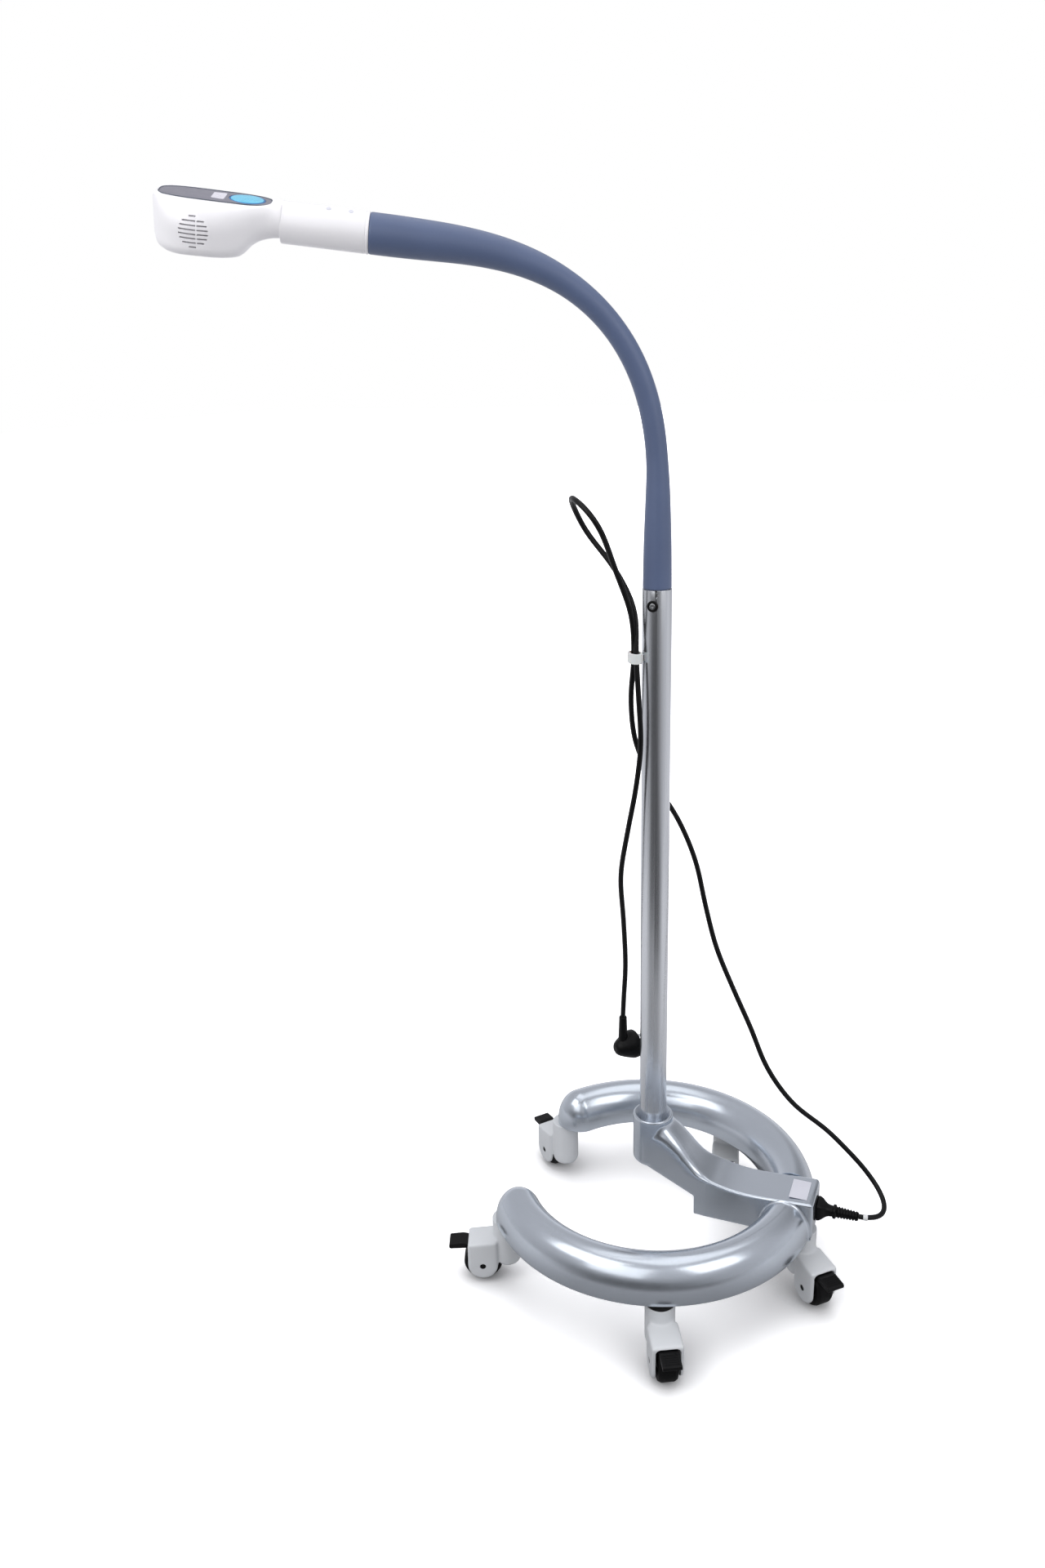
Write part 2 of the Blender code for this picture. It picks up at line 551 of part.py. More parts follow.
on_head(led, BOARD, to_head @ Matrix.Translation((HB_X, 0, 0)))
refl = turned("reflector", [(0.0120, -0.0074), (0.0245, -0.0122), (0.0345, -0.0200), (0.0382, -0.0258), (0.0370, -0.0258), (0.0334, -0.0204),
                            (0.0236, -0.0132), (0.0110, -0.0086)], 24, closed=True)
on_head(refl, ALU, to_head @ Matrix.Translation((HB_X, 0, 0)))
lens = turned("lens", [(0.0, -0.0266), (0.0385, -0.0266), (0.0385, -0.0294), (0.0335, -0.0298), (0.020, -0.0304), (0.0, -0.0306)], 28)
on_head(lens, GLASS, to_head @ Matrix.Translation((HB_X, 0, 0)))
bezel = turned("lens_bezel", [(0.0350, -0.0302), (0.0394, -0.0297), (0.0394, -0.0320), (0.0386, -0.0328), (0.0358, -0.0328), (0.0350, -0.0320)], 32, closed=True)
on_head(bezel, GREY, to_head @ Matrix.Translation((HB_X, 0, 0)))

# ---------------------------------------------------------------- casters (X trails, Z up, origin on the floor under the stem)
CHEEK_R = 0.0203


def hood_profile():
    """Side outline of the hood: a U about the axle under a top that falls slightly to the back."""
    pts = [(TRAIL - CHEEK_R, WHEEL_R), (TRAIL - CHEEK_R, HOOD_TOP + 0.0025), (TRAIL + CHEEK_R - 0.003, HOOD_TOP - 0.0010), (TRAIL + CHEEK_R, HOOD_TOP - 0.0040)]
    pts += [(TRAIL + CHEEK_R * cos(radians(a)), WHEEL_R + CHEEK_R * sin(radians(a))) for a in np.linspace(0, -180, 13)[:-1]]
    return pts


def xz_block(name, pts, hw, coll):
    o = outline(name, [(x, z) for x, z in pts], -hw, hw, coll)
    o.data.transform(Matrix.Rotation(pi / 2, 4, "X"))
    return o


hood = xz_block("hood_base", hood_profile(), HOOD_HW, PARTS)
b = hood.modifiers.new("edge", "BEVEL")
b.width = 0.0024
b.segments = 1
b.limit_method = "ANGLE"
b.angle_limit = radians(50)
settle(hood)
NECK_TOP = 0.0952 - FLOOR_Z
nk = turned("hood_neck", [(0.0, NECK_TOP), (NECK_CR - 0.0015, NECK_TOP), (NECK_CR, NECK_TOP - 0.0012), (NECK_CR, 0.0420), (NECK_CR - 0.003, 0.0365), (NECK_CR - 0.008, 0.0340),
                          (0.0, 0.0340)], 20, TOOLS)
join(hood, nk)
wc = TRAIL
cav = [(wc + 0.0285 * cos(radians(a)), WHEEL_R + 0.0285 * sin(radians(a))) for a in np.linspace(205, 76, 12)]
cav += [(0.0405, 0.0573), (0.0750, 0.0573), (0.0750, -0.0200), (wc + 0.0285 * cos(radians(205)), -0.0200)]
cut(hood, xz_block("hood_cavity", cav, 0.0155, TOOLS),
    box("pedal_notch", (0.0438, -0.0130, 0.0500), (0.0750, 0.0130, 0.0800), coll=TOOLS),
    cyl("stem_bore", 0.0056, (0, 0, 0.0615 - FLOOR_Z), (0, 0, 0.11), 14),
    cyl("axle_bore", 0.0041, (TRAIL, -0.03, WHEEL_R), (TRAIL, 0.03, WHEEL_R), 12))

WHEEL_N = 28                        # a flat facet stands on the floor
wv = WHEEL_R / cos(pi / WHEEL_N)
h = WHEEL_W / 2
wheel = turned("wheel_base", [(0.0045, h - 0.001), (0.0090, h - 0.001), (0.0100, h - 0.0035), (0.0165, h - 0.0035), (0.0180, h), (wv - 0.0030, h),
                              (wv, h - 0.0040), (wv, -h + 0.0040), (wv - 0.0030, -h), (0.0180, -h), (0.0165, -h + 0.0035), (0.0100, -h + 0.0035),
                              (0.0090, -h + 0.001), (0.0045, -h + 0.001)], WHEEL_N, closed=True, half_step=True)
wheel.data.transform(Matrix.Rotation(pi / 2, 4, "X"))
axle = turned("axle_base", [(0.0, 0.0195), (0.0036, 0.0195), (0.0038, 0.0192), (0.0038, -0.0192), (0.0036, -0.0195), (0.0, -0.0195)], 12)
axle.data.transform(Matrix.Rotation(pi / 2, 4, "X"))

PED_X, PED_Z = 0.0480, 0.0545
ped_pts = [(-0.0030, 0.0059), (0.0120, 0.0059), (0.0285, 0.0035), (0.0300, 0.0023), (0.0300, -0.0013), (0.0280, -0.0027), (0.0100, -0.0020), (0.0020, -0.0032),
           (-0.0010, -0.0034), (-0.0030, -0.0015)]
pedal = xz_block("pedal_base", ped_pts, 0.0118, PARTS)
join(pedal, cyl("pin", 0.0024, (0, -0.0150, 0), (0, 0.0150, 0), 10))

stem_prof = [(0.0, STEM_TOP), (0.0045, STEM_TOP), (0.0050, STEM_TOP - 0.001), (0.0050, RING_Z0 - FIT), (WASHER_R, RING_Z0 - FIT), (WASHER_R, 0.0975),
             (WASHER_R - 0.001, 0.0956), (0.0050, 0.0956), (0.0050, 0.0640), (0.0042, 0.0625), (0.0, 0.0625)]
for k, ((x, y), tr) in enumerate(zip(stem_xy, CASTER_TRAIL)):
    n = k + 1
    base = Matrix.Translation((x, y, FLOOR_Z)) @ Matrix.Rotation(radians(tr), 4, "Z")
    sw = empty("caster_%d_swivel" % n, ROOT_M @ base)
    ax = empty("caster_%d_wheel_axis" % n, ROOT_M @ base @ Matrix.Translation((TRAIL, 0, WHEEL_R)))
    pe = empty("caster_%d_pedal_axis" % n, ROOT_M @ base @ Matrix.Translation((PED_X, 0, PED_Z)))
    place(copy_of(hood, "caster_%d_hood" % n), sw, HOODW)
    ao = copy_of(axle, "caster_%d_axle" % n)
    ao.data.transform(Matrix.Translation((TRAIL, 0, WHEEL_R)))
    place(ao, sw, STEEL)
    place(copy_of(wheel, "caster_%d_wheel" % n), ax, TYRE)
    place(copy_of(pedal, "caster_%d_pedal" % n), pe, BLACK)
    st = turned("caster_%d_stem" % n, stem_prof, 20)
    st.data.transform(Matrix.Translation((x, y, 0)))
    place(st, ROOT, BLACK)
for o in (hood, wheel, axle, pedal):
    bpy.data.objects.remove(o, do_unlink=True)


# ---------------------------------------------------------------- mains lead
def route(way, step, n_max=79):
    """Evenly spaced points on a Catmull-Rom curve through the waypoints."""
    w = [Vector(p) for p in way]
    w = [w[0] * 2 - w[1]] + w + [w[-1] * 2 - w[-2]]
    fine = []
    for i in range(1, len(w) - 2):
        p0, p1, p2, p3 = w[i - 1:i + 3]
        for t in np.linspace(0, 1, 24, endpoint=False):
            fine.append(0.5 * ((2 * p1) + (p2 - p0) * t + (2 * p0 - 5 * p1 + 4 * p2 - p3) * t**2 + (3 * p1 - p0 - 3 * p2 + p3) * t**3))
    fine.append(w[-2])
    d = np.concatenate([[0], np.cumsum([(b - a).length for a, b in zip(fine[:-1], fine[1:])])])
    m = min(n_max, int(d[-1] / step))
    f = np.array([tuple(p) for p in fine])
    at = np.linspace(0, d[-1], m + 1)
    return [Vector(np.array([np.interp(a, d, f[:, k]) for k in range(3)])) for a in at]


CONN_Z = 0.1345
CONN_END = 0.2748
WAY = [(CONN_END + FIT, 0.0, CONN_Z + 0.0004), (0.2808, 0.0003, 0.1350), (0.2912, 0.0035, 0.1343), (0.3014, 0.0148, 0.1319), (0.3046, 0.0321, 0.1317),
       (0.3000, 0.0466, 0.1359), (0.2925, 0.0555, 0.1430), (0.2837, 0.0603, 0.1517), (0.2645, 0.0627, 0.1724), (0.2226, 0.0592, 0.2137),
       (0.1773, 0.0499, 0.2514), (0.1421, 0.0468, 0.2995), (0.1173, 0.0506, 0.3535), (0.0913, 0.0540, 0.4064), (0.0673, 0.0571, 0.4602),
       (0.0507, 0.0607, 0.5170), (0.0367, 0.0617, 0.5749), (0.0159, 0.0539, 0.6309), (-0.0092, 0.0329, 0.6854), (-0.0267, 0.0071, 0.7428),
       (-0.0304, -0.0036, 0.8002), (-0.0242, -0.0126, 0.8561), (-0.0251, -0.0203, 0.9078), (-0.0397, -0.0319, 0.9591), (-0.0474, -0.0593, 1.0060),
       (-0.0609, -0.0650, 1.0290), (-0.0810, -0.0524, 1.0414), (-0.0953, -0.0243, 1.0377), (-0.0951, -0.0031, 1.0174), (-0.0848, 0.0044, 0.9951),
       (-0.0503, 0.0001, 0.9551), (-0.0248, -0.0086, 0.9103), (-0.0193, -0.0192, 0.8575), (-0.0149, -0.0228, 0.8057), (-0.0127, -0.0219, 0.7515), (-0.0194, -0.0194, 0.6948),
       (-0.0311, -0.0149, 0.6356), (-0.0424, -0.0070, 0.5726), (-0.0426, 0.0049, 0.5066), (-0.0424, 0.0129, 0.4399), (-0.0450, 0.0139, 0.3903),
       (-0.0461, 0.0135, 0.3608)]
pts = route(WAY, 0.024)
pts.insert(1, pts[0] + Vector((0.006, 0, 0)))          # square ends at the connector and the plug
pts.insert(-1, pts[-1] + Vector((0, 0, 0.006)))
cu = bpy.data.curves.new("mains_cord", "CURVE")
cu.dimensions = "3D"
cu.bevel_depth = CORD_D / 2
cu.bevel_resolution = 2
cu.use_fill_caps = True
cu.resolution_u = 1
cu.render_resolution_u = 0
sp = cu.splines.new("POLY")
sp.points.add(len(pts) - 1)
for q, p in zip(sp.points, pts):
    q.co = (*p, 1.0)
cord = bpy.data.objects.new("mains_cord", cu)
PARTS.objects.link(cord)
place(cord, ROOT, BLACK)


def rounded(x, hw, hh, rc, n=3):
    out = []
    for cy, cz, a0 in ((hw - rc, hh - rc, 0), (-hw + rc, hh - rc, 90), (-hw + rc, -hh + rc, 180), (hw - rc, -hh + rc, 270)):
        out += [(x, cy + rc * cos(radians(a0 + t)), CONN_Z + cz + rc * sin(radians(a0 + t))) for t in np.linspace(0, 90, n)]
    return out


conn = loft("line_connector", [rounded(0.2078, 0.0112, 0.0077, 0.002), rounded(0.2225, 0.0112, 0.0077, 0.002), rounded(0.2227, 0.0128, 0.0117, 0.003),
                               rounded(0.2273, 0.0120, 0.0110, 0.004), rounded(0.2323, 0.0088, 0.0085, 0.005), rounded(0.2378, 0.0069, 0.0063, 0.005),
                               rounded(0.2423, 0.0069, 0.0063, 0.005), rounded(0.2431, 0.0082, 0.0078, 0.005), rounded(0.2461, 0.0082, 0.0078, 0.005),
                               rounded(0.2473, 0.0066, 0.0064, 0.005), rounded(CONN_END - 0.001, 0.0064, 0.0064, 0.005), rounded(CONN_END, 0.0056, 0.0056, 0.005)])
place(conn, ROOT, BLACK)

PLUG_M = Matrix.Translation(WAY[-1]) @ Matrix.Rotation(radians(50.0), 4, "Z")     # X along the pins, Z up the lead
PLUG_Z = -0.0468
plug = turned("mains_plug", [(0.0, 0.0195), (0.0172, 0.0195), (0.0190, 0.0178), (0.0190, 0.0122), (0.0176, 0.0085), (0.0142, 0.0), (0.0110, -0.0067),
                             (0.0082, -0.0104), (0.0045, -0.0125), (0.0, -0.0125)], 24)
plug.data.transform(Matrix.Translation((0, 0, PLUG_Z)) @ AX)
relief = turned("relief", [(0.0, -FIT), (0.0044, -FIT), (0.0051, -0.0012), (0.0059, -0.0260), (0.0066, -0.0400), (0.0, -0.0400)], 14, TOOLS)
join(plug, relief, cyl("pin_a", 0.0020, (0.0150, 0.0, PLUG_Z + 0.0095), (0.0385, 0.0, PLUG_Z + 0.0095), 10),
     cyl("pin_b", 0.0020, (0.0150, 0.0, PLUG_Z - 0.0095), (0.0385, 0.0, PLUG_Z - 0.0095), 10))
plug.data.transform(PLUG_M)
place(plug, ROOT, BLACK)

CLIP = Vector((-0.0217, -0.0162, 0.8569))
CLIP_A = radians(-54.0)
clip = outline("cord_clip", oval(0, 0.0122, 0.0078, 2.4, 24), -0.0060, 0.0060)
tab = box("clip_tab", (-0.0035, 0.0050, -0.0040), (0.0035, 0.00925, 0.0040), coll=TOOLS)
join(clip, tab)
cut(clip, outline("clip_hole", oval(0, 0.0096, 0.0052, 2.4, 20), -0.02, 0.02, TOOLS))
clip.data.transform(Matrix.Translation(CLIP) @ Matrix.Rotation(CLIP_A, 4, "Z"))
place(clip, ROOT, NYLON)

bpy.data.collections.remove(TOOLS)
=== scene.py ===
"""Mobile examination lamp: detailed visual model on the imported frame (metres, +Z up)."""
import bpy
import bmesh
import numpy as np
from math import pi, sin, cos, tan, asin, acos, sqrt, radians, exp
from mathutils import Matrix, Vector


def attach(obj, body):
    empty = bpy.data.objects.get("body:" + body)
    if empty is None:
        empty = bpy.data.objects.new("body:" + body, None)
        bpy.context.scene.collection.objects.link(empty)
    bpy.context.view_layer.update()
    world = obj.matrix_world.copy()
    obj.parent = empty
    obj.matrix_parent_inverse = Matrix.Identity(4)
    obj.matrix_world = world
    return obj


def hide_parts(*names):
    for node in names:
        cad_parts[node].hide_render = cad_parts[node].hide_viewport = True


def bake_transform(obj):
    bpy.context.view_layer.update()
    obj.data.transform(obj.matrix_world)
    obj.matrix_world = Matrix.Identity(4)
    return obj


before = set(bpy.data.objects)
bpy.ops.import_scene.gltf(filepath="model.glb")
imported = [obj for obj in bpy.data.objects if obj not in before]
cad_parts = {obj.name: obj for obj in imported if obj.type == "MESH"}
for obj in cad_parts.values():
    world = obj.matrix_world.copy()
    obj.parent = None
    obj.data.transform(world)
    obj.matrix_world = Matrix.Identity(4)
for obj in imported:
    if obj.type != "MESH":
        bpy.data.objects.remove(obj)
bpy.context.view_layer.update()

# ------------------------------------------------------------------ dimensions shared with the part
OX, OY, FLOOR_Z = -0.10991, -0.02164, 0.0125
ROOT = Matrix.Translation((-OX, -OY, -FLOOR_Z))
FIT = 0.0003
RING_CX, RING_R, RING_W, RING_Z0, RING_ZS, RING_HB, RING_END = -0.0023, 0.190, 0.0312, 0.104, 0.1110, 0.0441, 140.0
BOX_HW, BOX_TOP, BOX_X0, BOX_X1 = 0.0300, 0.1580, 0.0650, 0.2208
SOCKET_R, SOCKET_TOP, SOCKET_BOT = 0.0263, 0.2310, 0.1600
COL_R, COL_BOT, COL_TOP = 0.0175, 0.1705, 0.9360
GN_AZ, GN_L0, GN_L1, GN_TURN, GN_L = 204.2, 0.0863, 0.5220, 82.0, 0.5766
GN_J = [0.045, 0.171, 0.297, 0.423, 0.550]
HEAD_ROLL, NECK_LEN, NECK_R = 20.0, 0.0915, 0.0206
STEM_XY = [(0.2051, -0.0046), (0.0640, -0.1895), (-0.1694, -0.1170), (-0.1694, 0.1170), (0.0590, 0.1960)]
CASTER_TRAIL = [-46.0, -63.0, -159.0, 140.0, -78.0]
TRAIL, WHEEL_R, WHEEL_W = 0.0330, 0.0257, 0.0240
HOOD_HW, HOOD_TOP, NECK_CR, CHEEK_R, WASHER_R = 0.0198, 0.0610, 0.0190, 0.0203, 0.0188
NECK_TOP = 0.0952 - FLOOR_Z
PED_X, PED_Z = 0.0480, 0.0545
CORD_D = 0.0066
CONN_Z, CONN_END = 0.1345, 0.2748
SKY, FLOOR_GAIN, FLOOR_LIFT = 0.60, 1.68, 0.06

# ------------------------------------------------------------------ camera
cam = bpy.data.cameras.new("camera")
cam.sensor_fit = "VERTICAL"
cam.sensor_height = 36.0
cam.lens = 28.125
cam.clip_start = 0.05
cam.clip_end = 100.0
cam_o = bpy.data.objects.new("camera", cam)
bpy.context.scene.collection.objects.link(cam_o)
CAM_R, CAM_U, CAM_F = Vector((0.9290, 0.3692, -0.0278)), Vector((-0.0963, 0.3133, 0.9448)), Vector((-0.3575, 0.8750, -0.3266))
m = Matrix((CAM_R, CAM_U, -CAM_F)).transposed().to_4x4()
m.translation = Vector((0.38309 - OX, -1.36660 - OY, 1.18908 - FLOOR_Z))
cam_o.matrix_world = m
bpy.context.scene.camera = cam_o


# ------------------------------------------------------------------ materials
def lin(hexa):
    v = [int(hexa[i:i + 2], 16) / 255 for i in (1, 3, 5)]
    return tuple(c / 12.92 if c <= 0.04045 else ((c + 0.055) / 1.055)**2.4 for c in v) + (1.0,)


def shader(name, **sockets):
    mt = bpy.data.materials.new(name)
    mt.use_nodes = True
    nt = mt.node_tree
    b = nt.nodes["Principled BSDF"]
    for k, v in sockets.items():
        b.inputs[k.replace("_", " ")].default_value = v
    return mt, nt, b


def node(nt, kind, **props):
    n = nt.nodes.new(kind)
    for k, v in props.items():
        if k in n.inputs:
            n.inputs[k].default_value = v
        else:
            setattr(n, k, v)
    return n


def coords(nt, scale=(1, 1, 1), rot=(0, 0, 0)):
    tc = node(nt, "ShaderNodeTexCoord")
    mp = node(nt, "ShaderNodeMapping")
    mp.inputs["Scale"].default_value = scale
    mp.inputs["Rotation"].default_value = rot
    nt.links.new(tc.outputs["Object"], mp.inputs["Vector"])
    return mp.outputs["Vector"]


def noise(nt, vec, scale, detail=3.0, rough=0.5):
    n = node(nt, "ShaderNodeTexNoise")
    n.inputs["Scale"].default_value = scale
    n.inputs["Detail"].default_value = detail
    n.inputs["Roughness"].default_value = rough
    nt.links.new(vec, n.inputs["Vector"])
    return n.outputs["Fac"]


def ramp(nt, fac, stops):
    r = node(nt, "ShaderNodeValToRGB")
    e = r.color_ramp.elements
    e[0].position, e[0].color = stops[0]
    e[1].position, e[1].color = stops[-1]
    for p, c in stops[1:-1]:
        x = e.new(p)
        x.color = c
    nt.links.new(fac, r.inputs["Fac"])
    return r.outputs["Color"]


def spread(nt, fac, lo, hi, a=0.3, b=0.7):
    mr = node(nt, "ShaderNodeMapRange")
    mr.inputs["From Min"].default_value = a
    mr.inputs["From Max"].default_value = b
    mr.inputs["To Min"].default_value = lo
    mr.inputs["To Max"].default_value = hi
    nt.links.new(fac, mr.inputs["Value"])
    return mr.outputs["Result"]


def bump(nt, b, height, strength, distance=0.0005):
    bp = node(nt, "ShaderNodeBump")
    bp.inputs["Strength"].default_value = strength
    bp.inputs["Distance"].default_value = distance
    nt.links.new(height, bp.inputs["Height"])
    nt.links.new(bp.outputs["Normal"], b.inputs["Normal"])
    return bp


def tint(c, k):
    return tuple(min(1.0, x * k) for x in c[:3]) + (1.0,)


def plain(name, hexa, rough, grain=160.0, vary=0.06, bumpiness=0.12, metal=0.0, rvary=0.06, **kw):
    """Moulded or painted surface: faint mottling, uneven gloss and a fine skin texture."""
    c = lin(hexa)
    mt, nt, b = shader(name, Metallic=metal, **kw)
    v = coords(nt)
    big = noise(nt, v, 28.0, 4.0)
    nt.links.new(ramp(nt, big, [(0.3, tint(c, 1 - vary)), (0.7, tint(c, 1 + vary))]), b.inputs["Base Color"])
    fine = noise(nt, v, grain * 10, 2.0)
    nt.links.new(spread(nt, noise(nt, v, grain, 3.0), max(0.02, rough - rvary), rough + rvary), b.inputs["Roughness"])
    bump(nt, b, fine, bumpiness, 0.0002)
    return mt


def silver_paint():
    """Silver lacquer: faint clouding of the metal flake, slight orange peel and a thin clear coat."""
    c = lin("#c3cad3")
    mt, nt, b = shader("silver_lacquer", Metallic=0.90, Coat_Weight=0.15, Coat_Roughness=0.12)
    v = coords(nt)
    flake = noise(nt, v, 700.0, 2.0)
    cloud = noise(nt, v, 9.0, 3.0)
    mix = node(nt, "ShaderNodeMath", operation="ADD")
    sc = node(nt, "ShaderNodeMath", operation="MULTIPLY")
    sc.inputs[1].default_value = 0.6
    nt.links.new(cloud, sc.inputs[0])
    nt.links.new(flake, mix.inputs[0])
    nt.links.new(sc.outputs[0], mix.inputs[1])
    nt.links.new(ramp(nt, mix.outputs[0], [(0.45, tint(c, 0.95)), (0.80, tint(c, 1.0)), (1.0, tint(c, 1.04))]), b.inputs["Base Color"])
    nt.links.new(spread(nt, noise(nt, v, 60.0, 3.0), 0.20, 0.24), b.inputs["Roughness"])
    bump(nt, b, noise(nt, v, 140.0, 2.0), 0.02, 0.0004)
    return mt


def column_metal():
    """Satin anodised tube, drawn along its length."""
    c = lin("#d6d9de")
    mt, nt, b = shader("satin_tube", Metallic=1.0, Anisotropic=0.25)
    v = coords(nt, (500.0, 500.0, 1.2))
    streak = noise(nt, v, 1.0, 2.0)
    nt.links.new(ramp(nt, streak, [(0.3, tint(c, 0.975)), (0.7, tint(c, 1.02))]), b.inputs["Base Color"])
    nt.links.new(spread(nt, streak, 0.245, 0.275), b.inputs["Roughness"])
    return mt


def sleeve_skin():
    """Blue-grey soft PVC sleeve with a faint sheen and dust-fine skin."""
    c = lin("#5a6888")
    mt, nt, b = shader("sleeve_skin", Sheen_Weight=0.12, Sheen_Roughness=0.4, Specular_IOR_Level=0.45)
    v = coords(nt)
    nt.links.new(ramp(nt, noise(nt, v, 16.0, 4.0), [(0.3, tint(c, 0.95)), (0.7, tint(c, 1.05))]), b.inputs["Base Color"])
    nt.links.new(spread(nt, noise(nt, v, 240.0, 3.0), 0.40, 0.50), b.inputs["Roughness"])
    bump(nt, b, noise(nt, v, 900.0, 2.0), 0.03, 0.0002)
    return mt


def clear_lens():
    mt, nt, b = shader("lens_clear", Roughness=0.06, IOR=1.49, Transmission_Weight=0.9)
    v = coords(nt)
    nt.links.new(ramp(nt, noise(nt, v, 40.0), [(0.3, (0.86, 0.90, 0.95, 1)), (0.7, (0.93, 0.95, 0.98, 1))]), b.inputs["Base Color"])
    wave = node(nt, "ShaderNodeTexVoronoi")
    wave.inputs["Scale"].default_value = 420.0
    nt.links.new(v, wave.inputs["Vector"])
    bump(nt, b, wave.outputs["Distance"], 0.15, 0.0004)
    return mt


def board():
    c = lin("#e7eae2")
    mt, nt, b = shader("board_mask", Roughness=0.4)
    v = coords(nt)
    br = node(nt, "ShaderNodeTexBrick")
    br.inputs["Scale"].default_value = 160.0
    br.inputs["Color1"].default_value = c
    br.inputs["Color2"].default_value = tint(c, 0.93)
    br.inputs["Mortar"].default_value = tint(c, 0.8)
    nt.links.new(v, br.inputs["Vector"])
    nt.links.new(br.outputs["Color"], b.inputs["Base Color"])
    return mt


M = {
    "silver": silver_paint(),
    "column": column_metal(),
    "sleeve": sleeve_skin(),
    "white": plain("white_shell", "#f8f7fa", 0.32, 60.0, 0.015, 0.02, rvary=0.03, Coat_Weight=0.15, Coat_Roughness=0.2),
    "hood": plain("hood_plastic", "#d8dbde", 0.40, 70.0, 0.02, 0.03),
    "black": plain("black_moulding", "#050506", 0.42, 160.0, 0.15, 0.25, Specular_IOR_Level=0.18),
    "rubber": plain("tyre_rubber", "#050506", 0.52, 120.0, 0.2, 0.35, Specular_IOR_Level=0.16),
    "cord": plain("cord_jacket", "#060607", 0.40, 200.0, 0.15, 0.2, Specular_IOR_Level=0.24),
    "grey": plain("panel_grey", "#777682", 0.36, 90.0, 0.03, 0.05),
    "trim": plain("panel_trim", "#4a535f", 0.34, 170.0, 0.05, 0.15),
    "inlay": plain("panel_inlay", "#d6d4de", 0.30, 90.0, 0.03, 0.04),
    "blue": plain("button_blue", "#5fc2e4", 0.28, 120.0, 0.04, 0.08, Coat_Weight=0.3, Coat_Roughness=0.12),
    "bluerim": plain("button_rim", "#2f6fae", 0.32, 120.0, 0.05, 0.08),
    "nylon": plain("clip_nylon", "#e9e8e6", 0.45, 140.0, 0.03, 0.15, Subsurface_Weight=0.1),
    "steel": plain("bright_steel", "#b9bbbe", 0.26, 200.0, 0.05, 0.06, metal=1.0),
    "iron": plain("ballast_iron", "#4a4b4d", 0.62, 60.0, 0.2, 0.5, metal=0.7, rvary=0.12),
    "alu": plain("turned_aluminium", "#cfd1d4", 0.24, 300.0, 0.04, 0.05, metal=1.0),
    "label": plain("blank_label", "#d3d4de", 0.42, 200.0, 0.02, 0.05),
    "lens": clear_lens(),
    "board": board(),
}


# ------------------------------------------------------------------ mesh helpers
def new_obj(name, bm, mat, smooth=True, sharp=35.0):
    bmesh.ops.recalc_face_normals(bm, faces=bm.faces)
    me = bpy.data.meshes.new(name)
    bm.to_mesh(me)
    bm.free()
    o = bpy.data.objects.new(name, me)
    bpy.context.scene.collection.objects.link(o)
    if mat:
        me.materials.append(M[mat])
    finish_shade(o, smooth, sharp)
    return o


def finish_shade(o, smooth=True, sharp=35.0):
    me = o.data
    me.polygons.foreach_set("use_smooth", [smooth] * len(me.polygons))
    if smooth and sharp:
        me.set_sharp_from_angle(angle=radians(sharp))
    me.update()
    return o


def loft(name, rings, mat=None, close=False, cap=True, **kw):
    bm = bmesh.new()
    vs = [[bm.verts.new(p) for p in r] for r in rings]
    n = len(rings[0])
    pairs = list(zip(vs[:-1], vs[1:])) + ([(vs[-1], vs[0])] if close else [])
    for a, b in pairs:
        for i in range(n):
            bm.faces.new((a[i], a[(i + 1) % n], b[(i + 1) % n], b[i]))
    if not close and cap:
        bm.faces.new(vs[0])
        bm.faces.new(vs[-1])
    return new_obj(name, bm, mat, **kw)


def lathe(name, profile, steps=64, mat=None, closed=False, **kw):
    """Turn (radius, height) points about Z; radius 0 ends in a pole."""
    bm = bmesh.new()
    rows = []
    for r, z in profile:
        if r < 1e-7:
            rows.append([bm.verts.new((0, 0, z))])
        else:
            rows.append([bm.verts.new((r * cos(2 * pi * i / steps), r * sin(2 * pi * i / steps), z)) for i in range(steps)])
    seq = list(zip(rows[:-1], rows[1:])) + ([(rows[-1], rows[0])] if closed else [])
    for a, b in seq:
        for i in range(steps):
            j = (i + 1) % steps
            if len(a) == 1 and len(b) == 1:
                continue
            if len(a) == 1:
                bm.faces.new((a[0], b[j], b[i]))
            elif len(b) == 1:
                bm.faces.new((a[i], a[j], b[0]))
            else:
                bm.faces.new((a[i], a[j], b[j], b[i]))
    return new_obj(name, bm, mat, **kw)


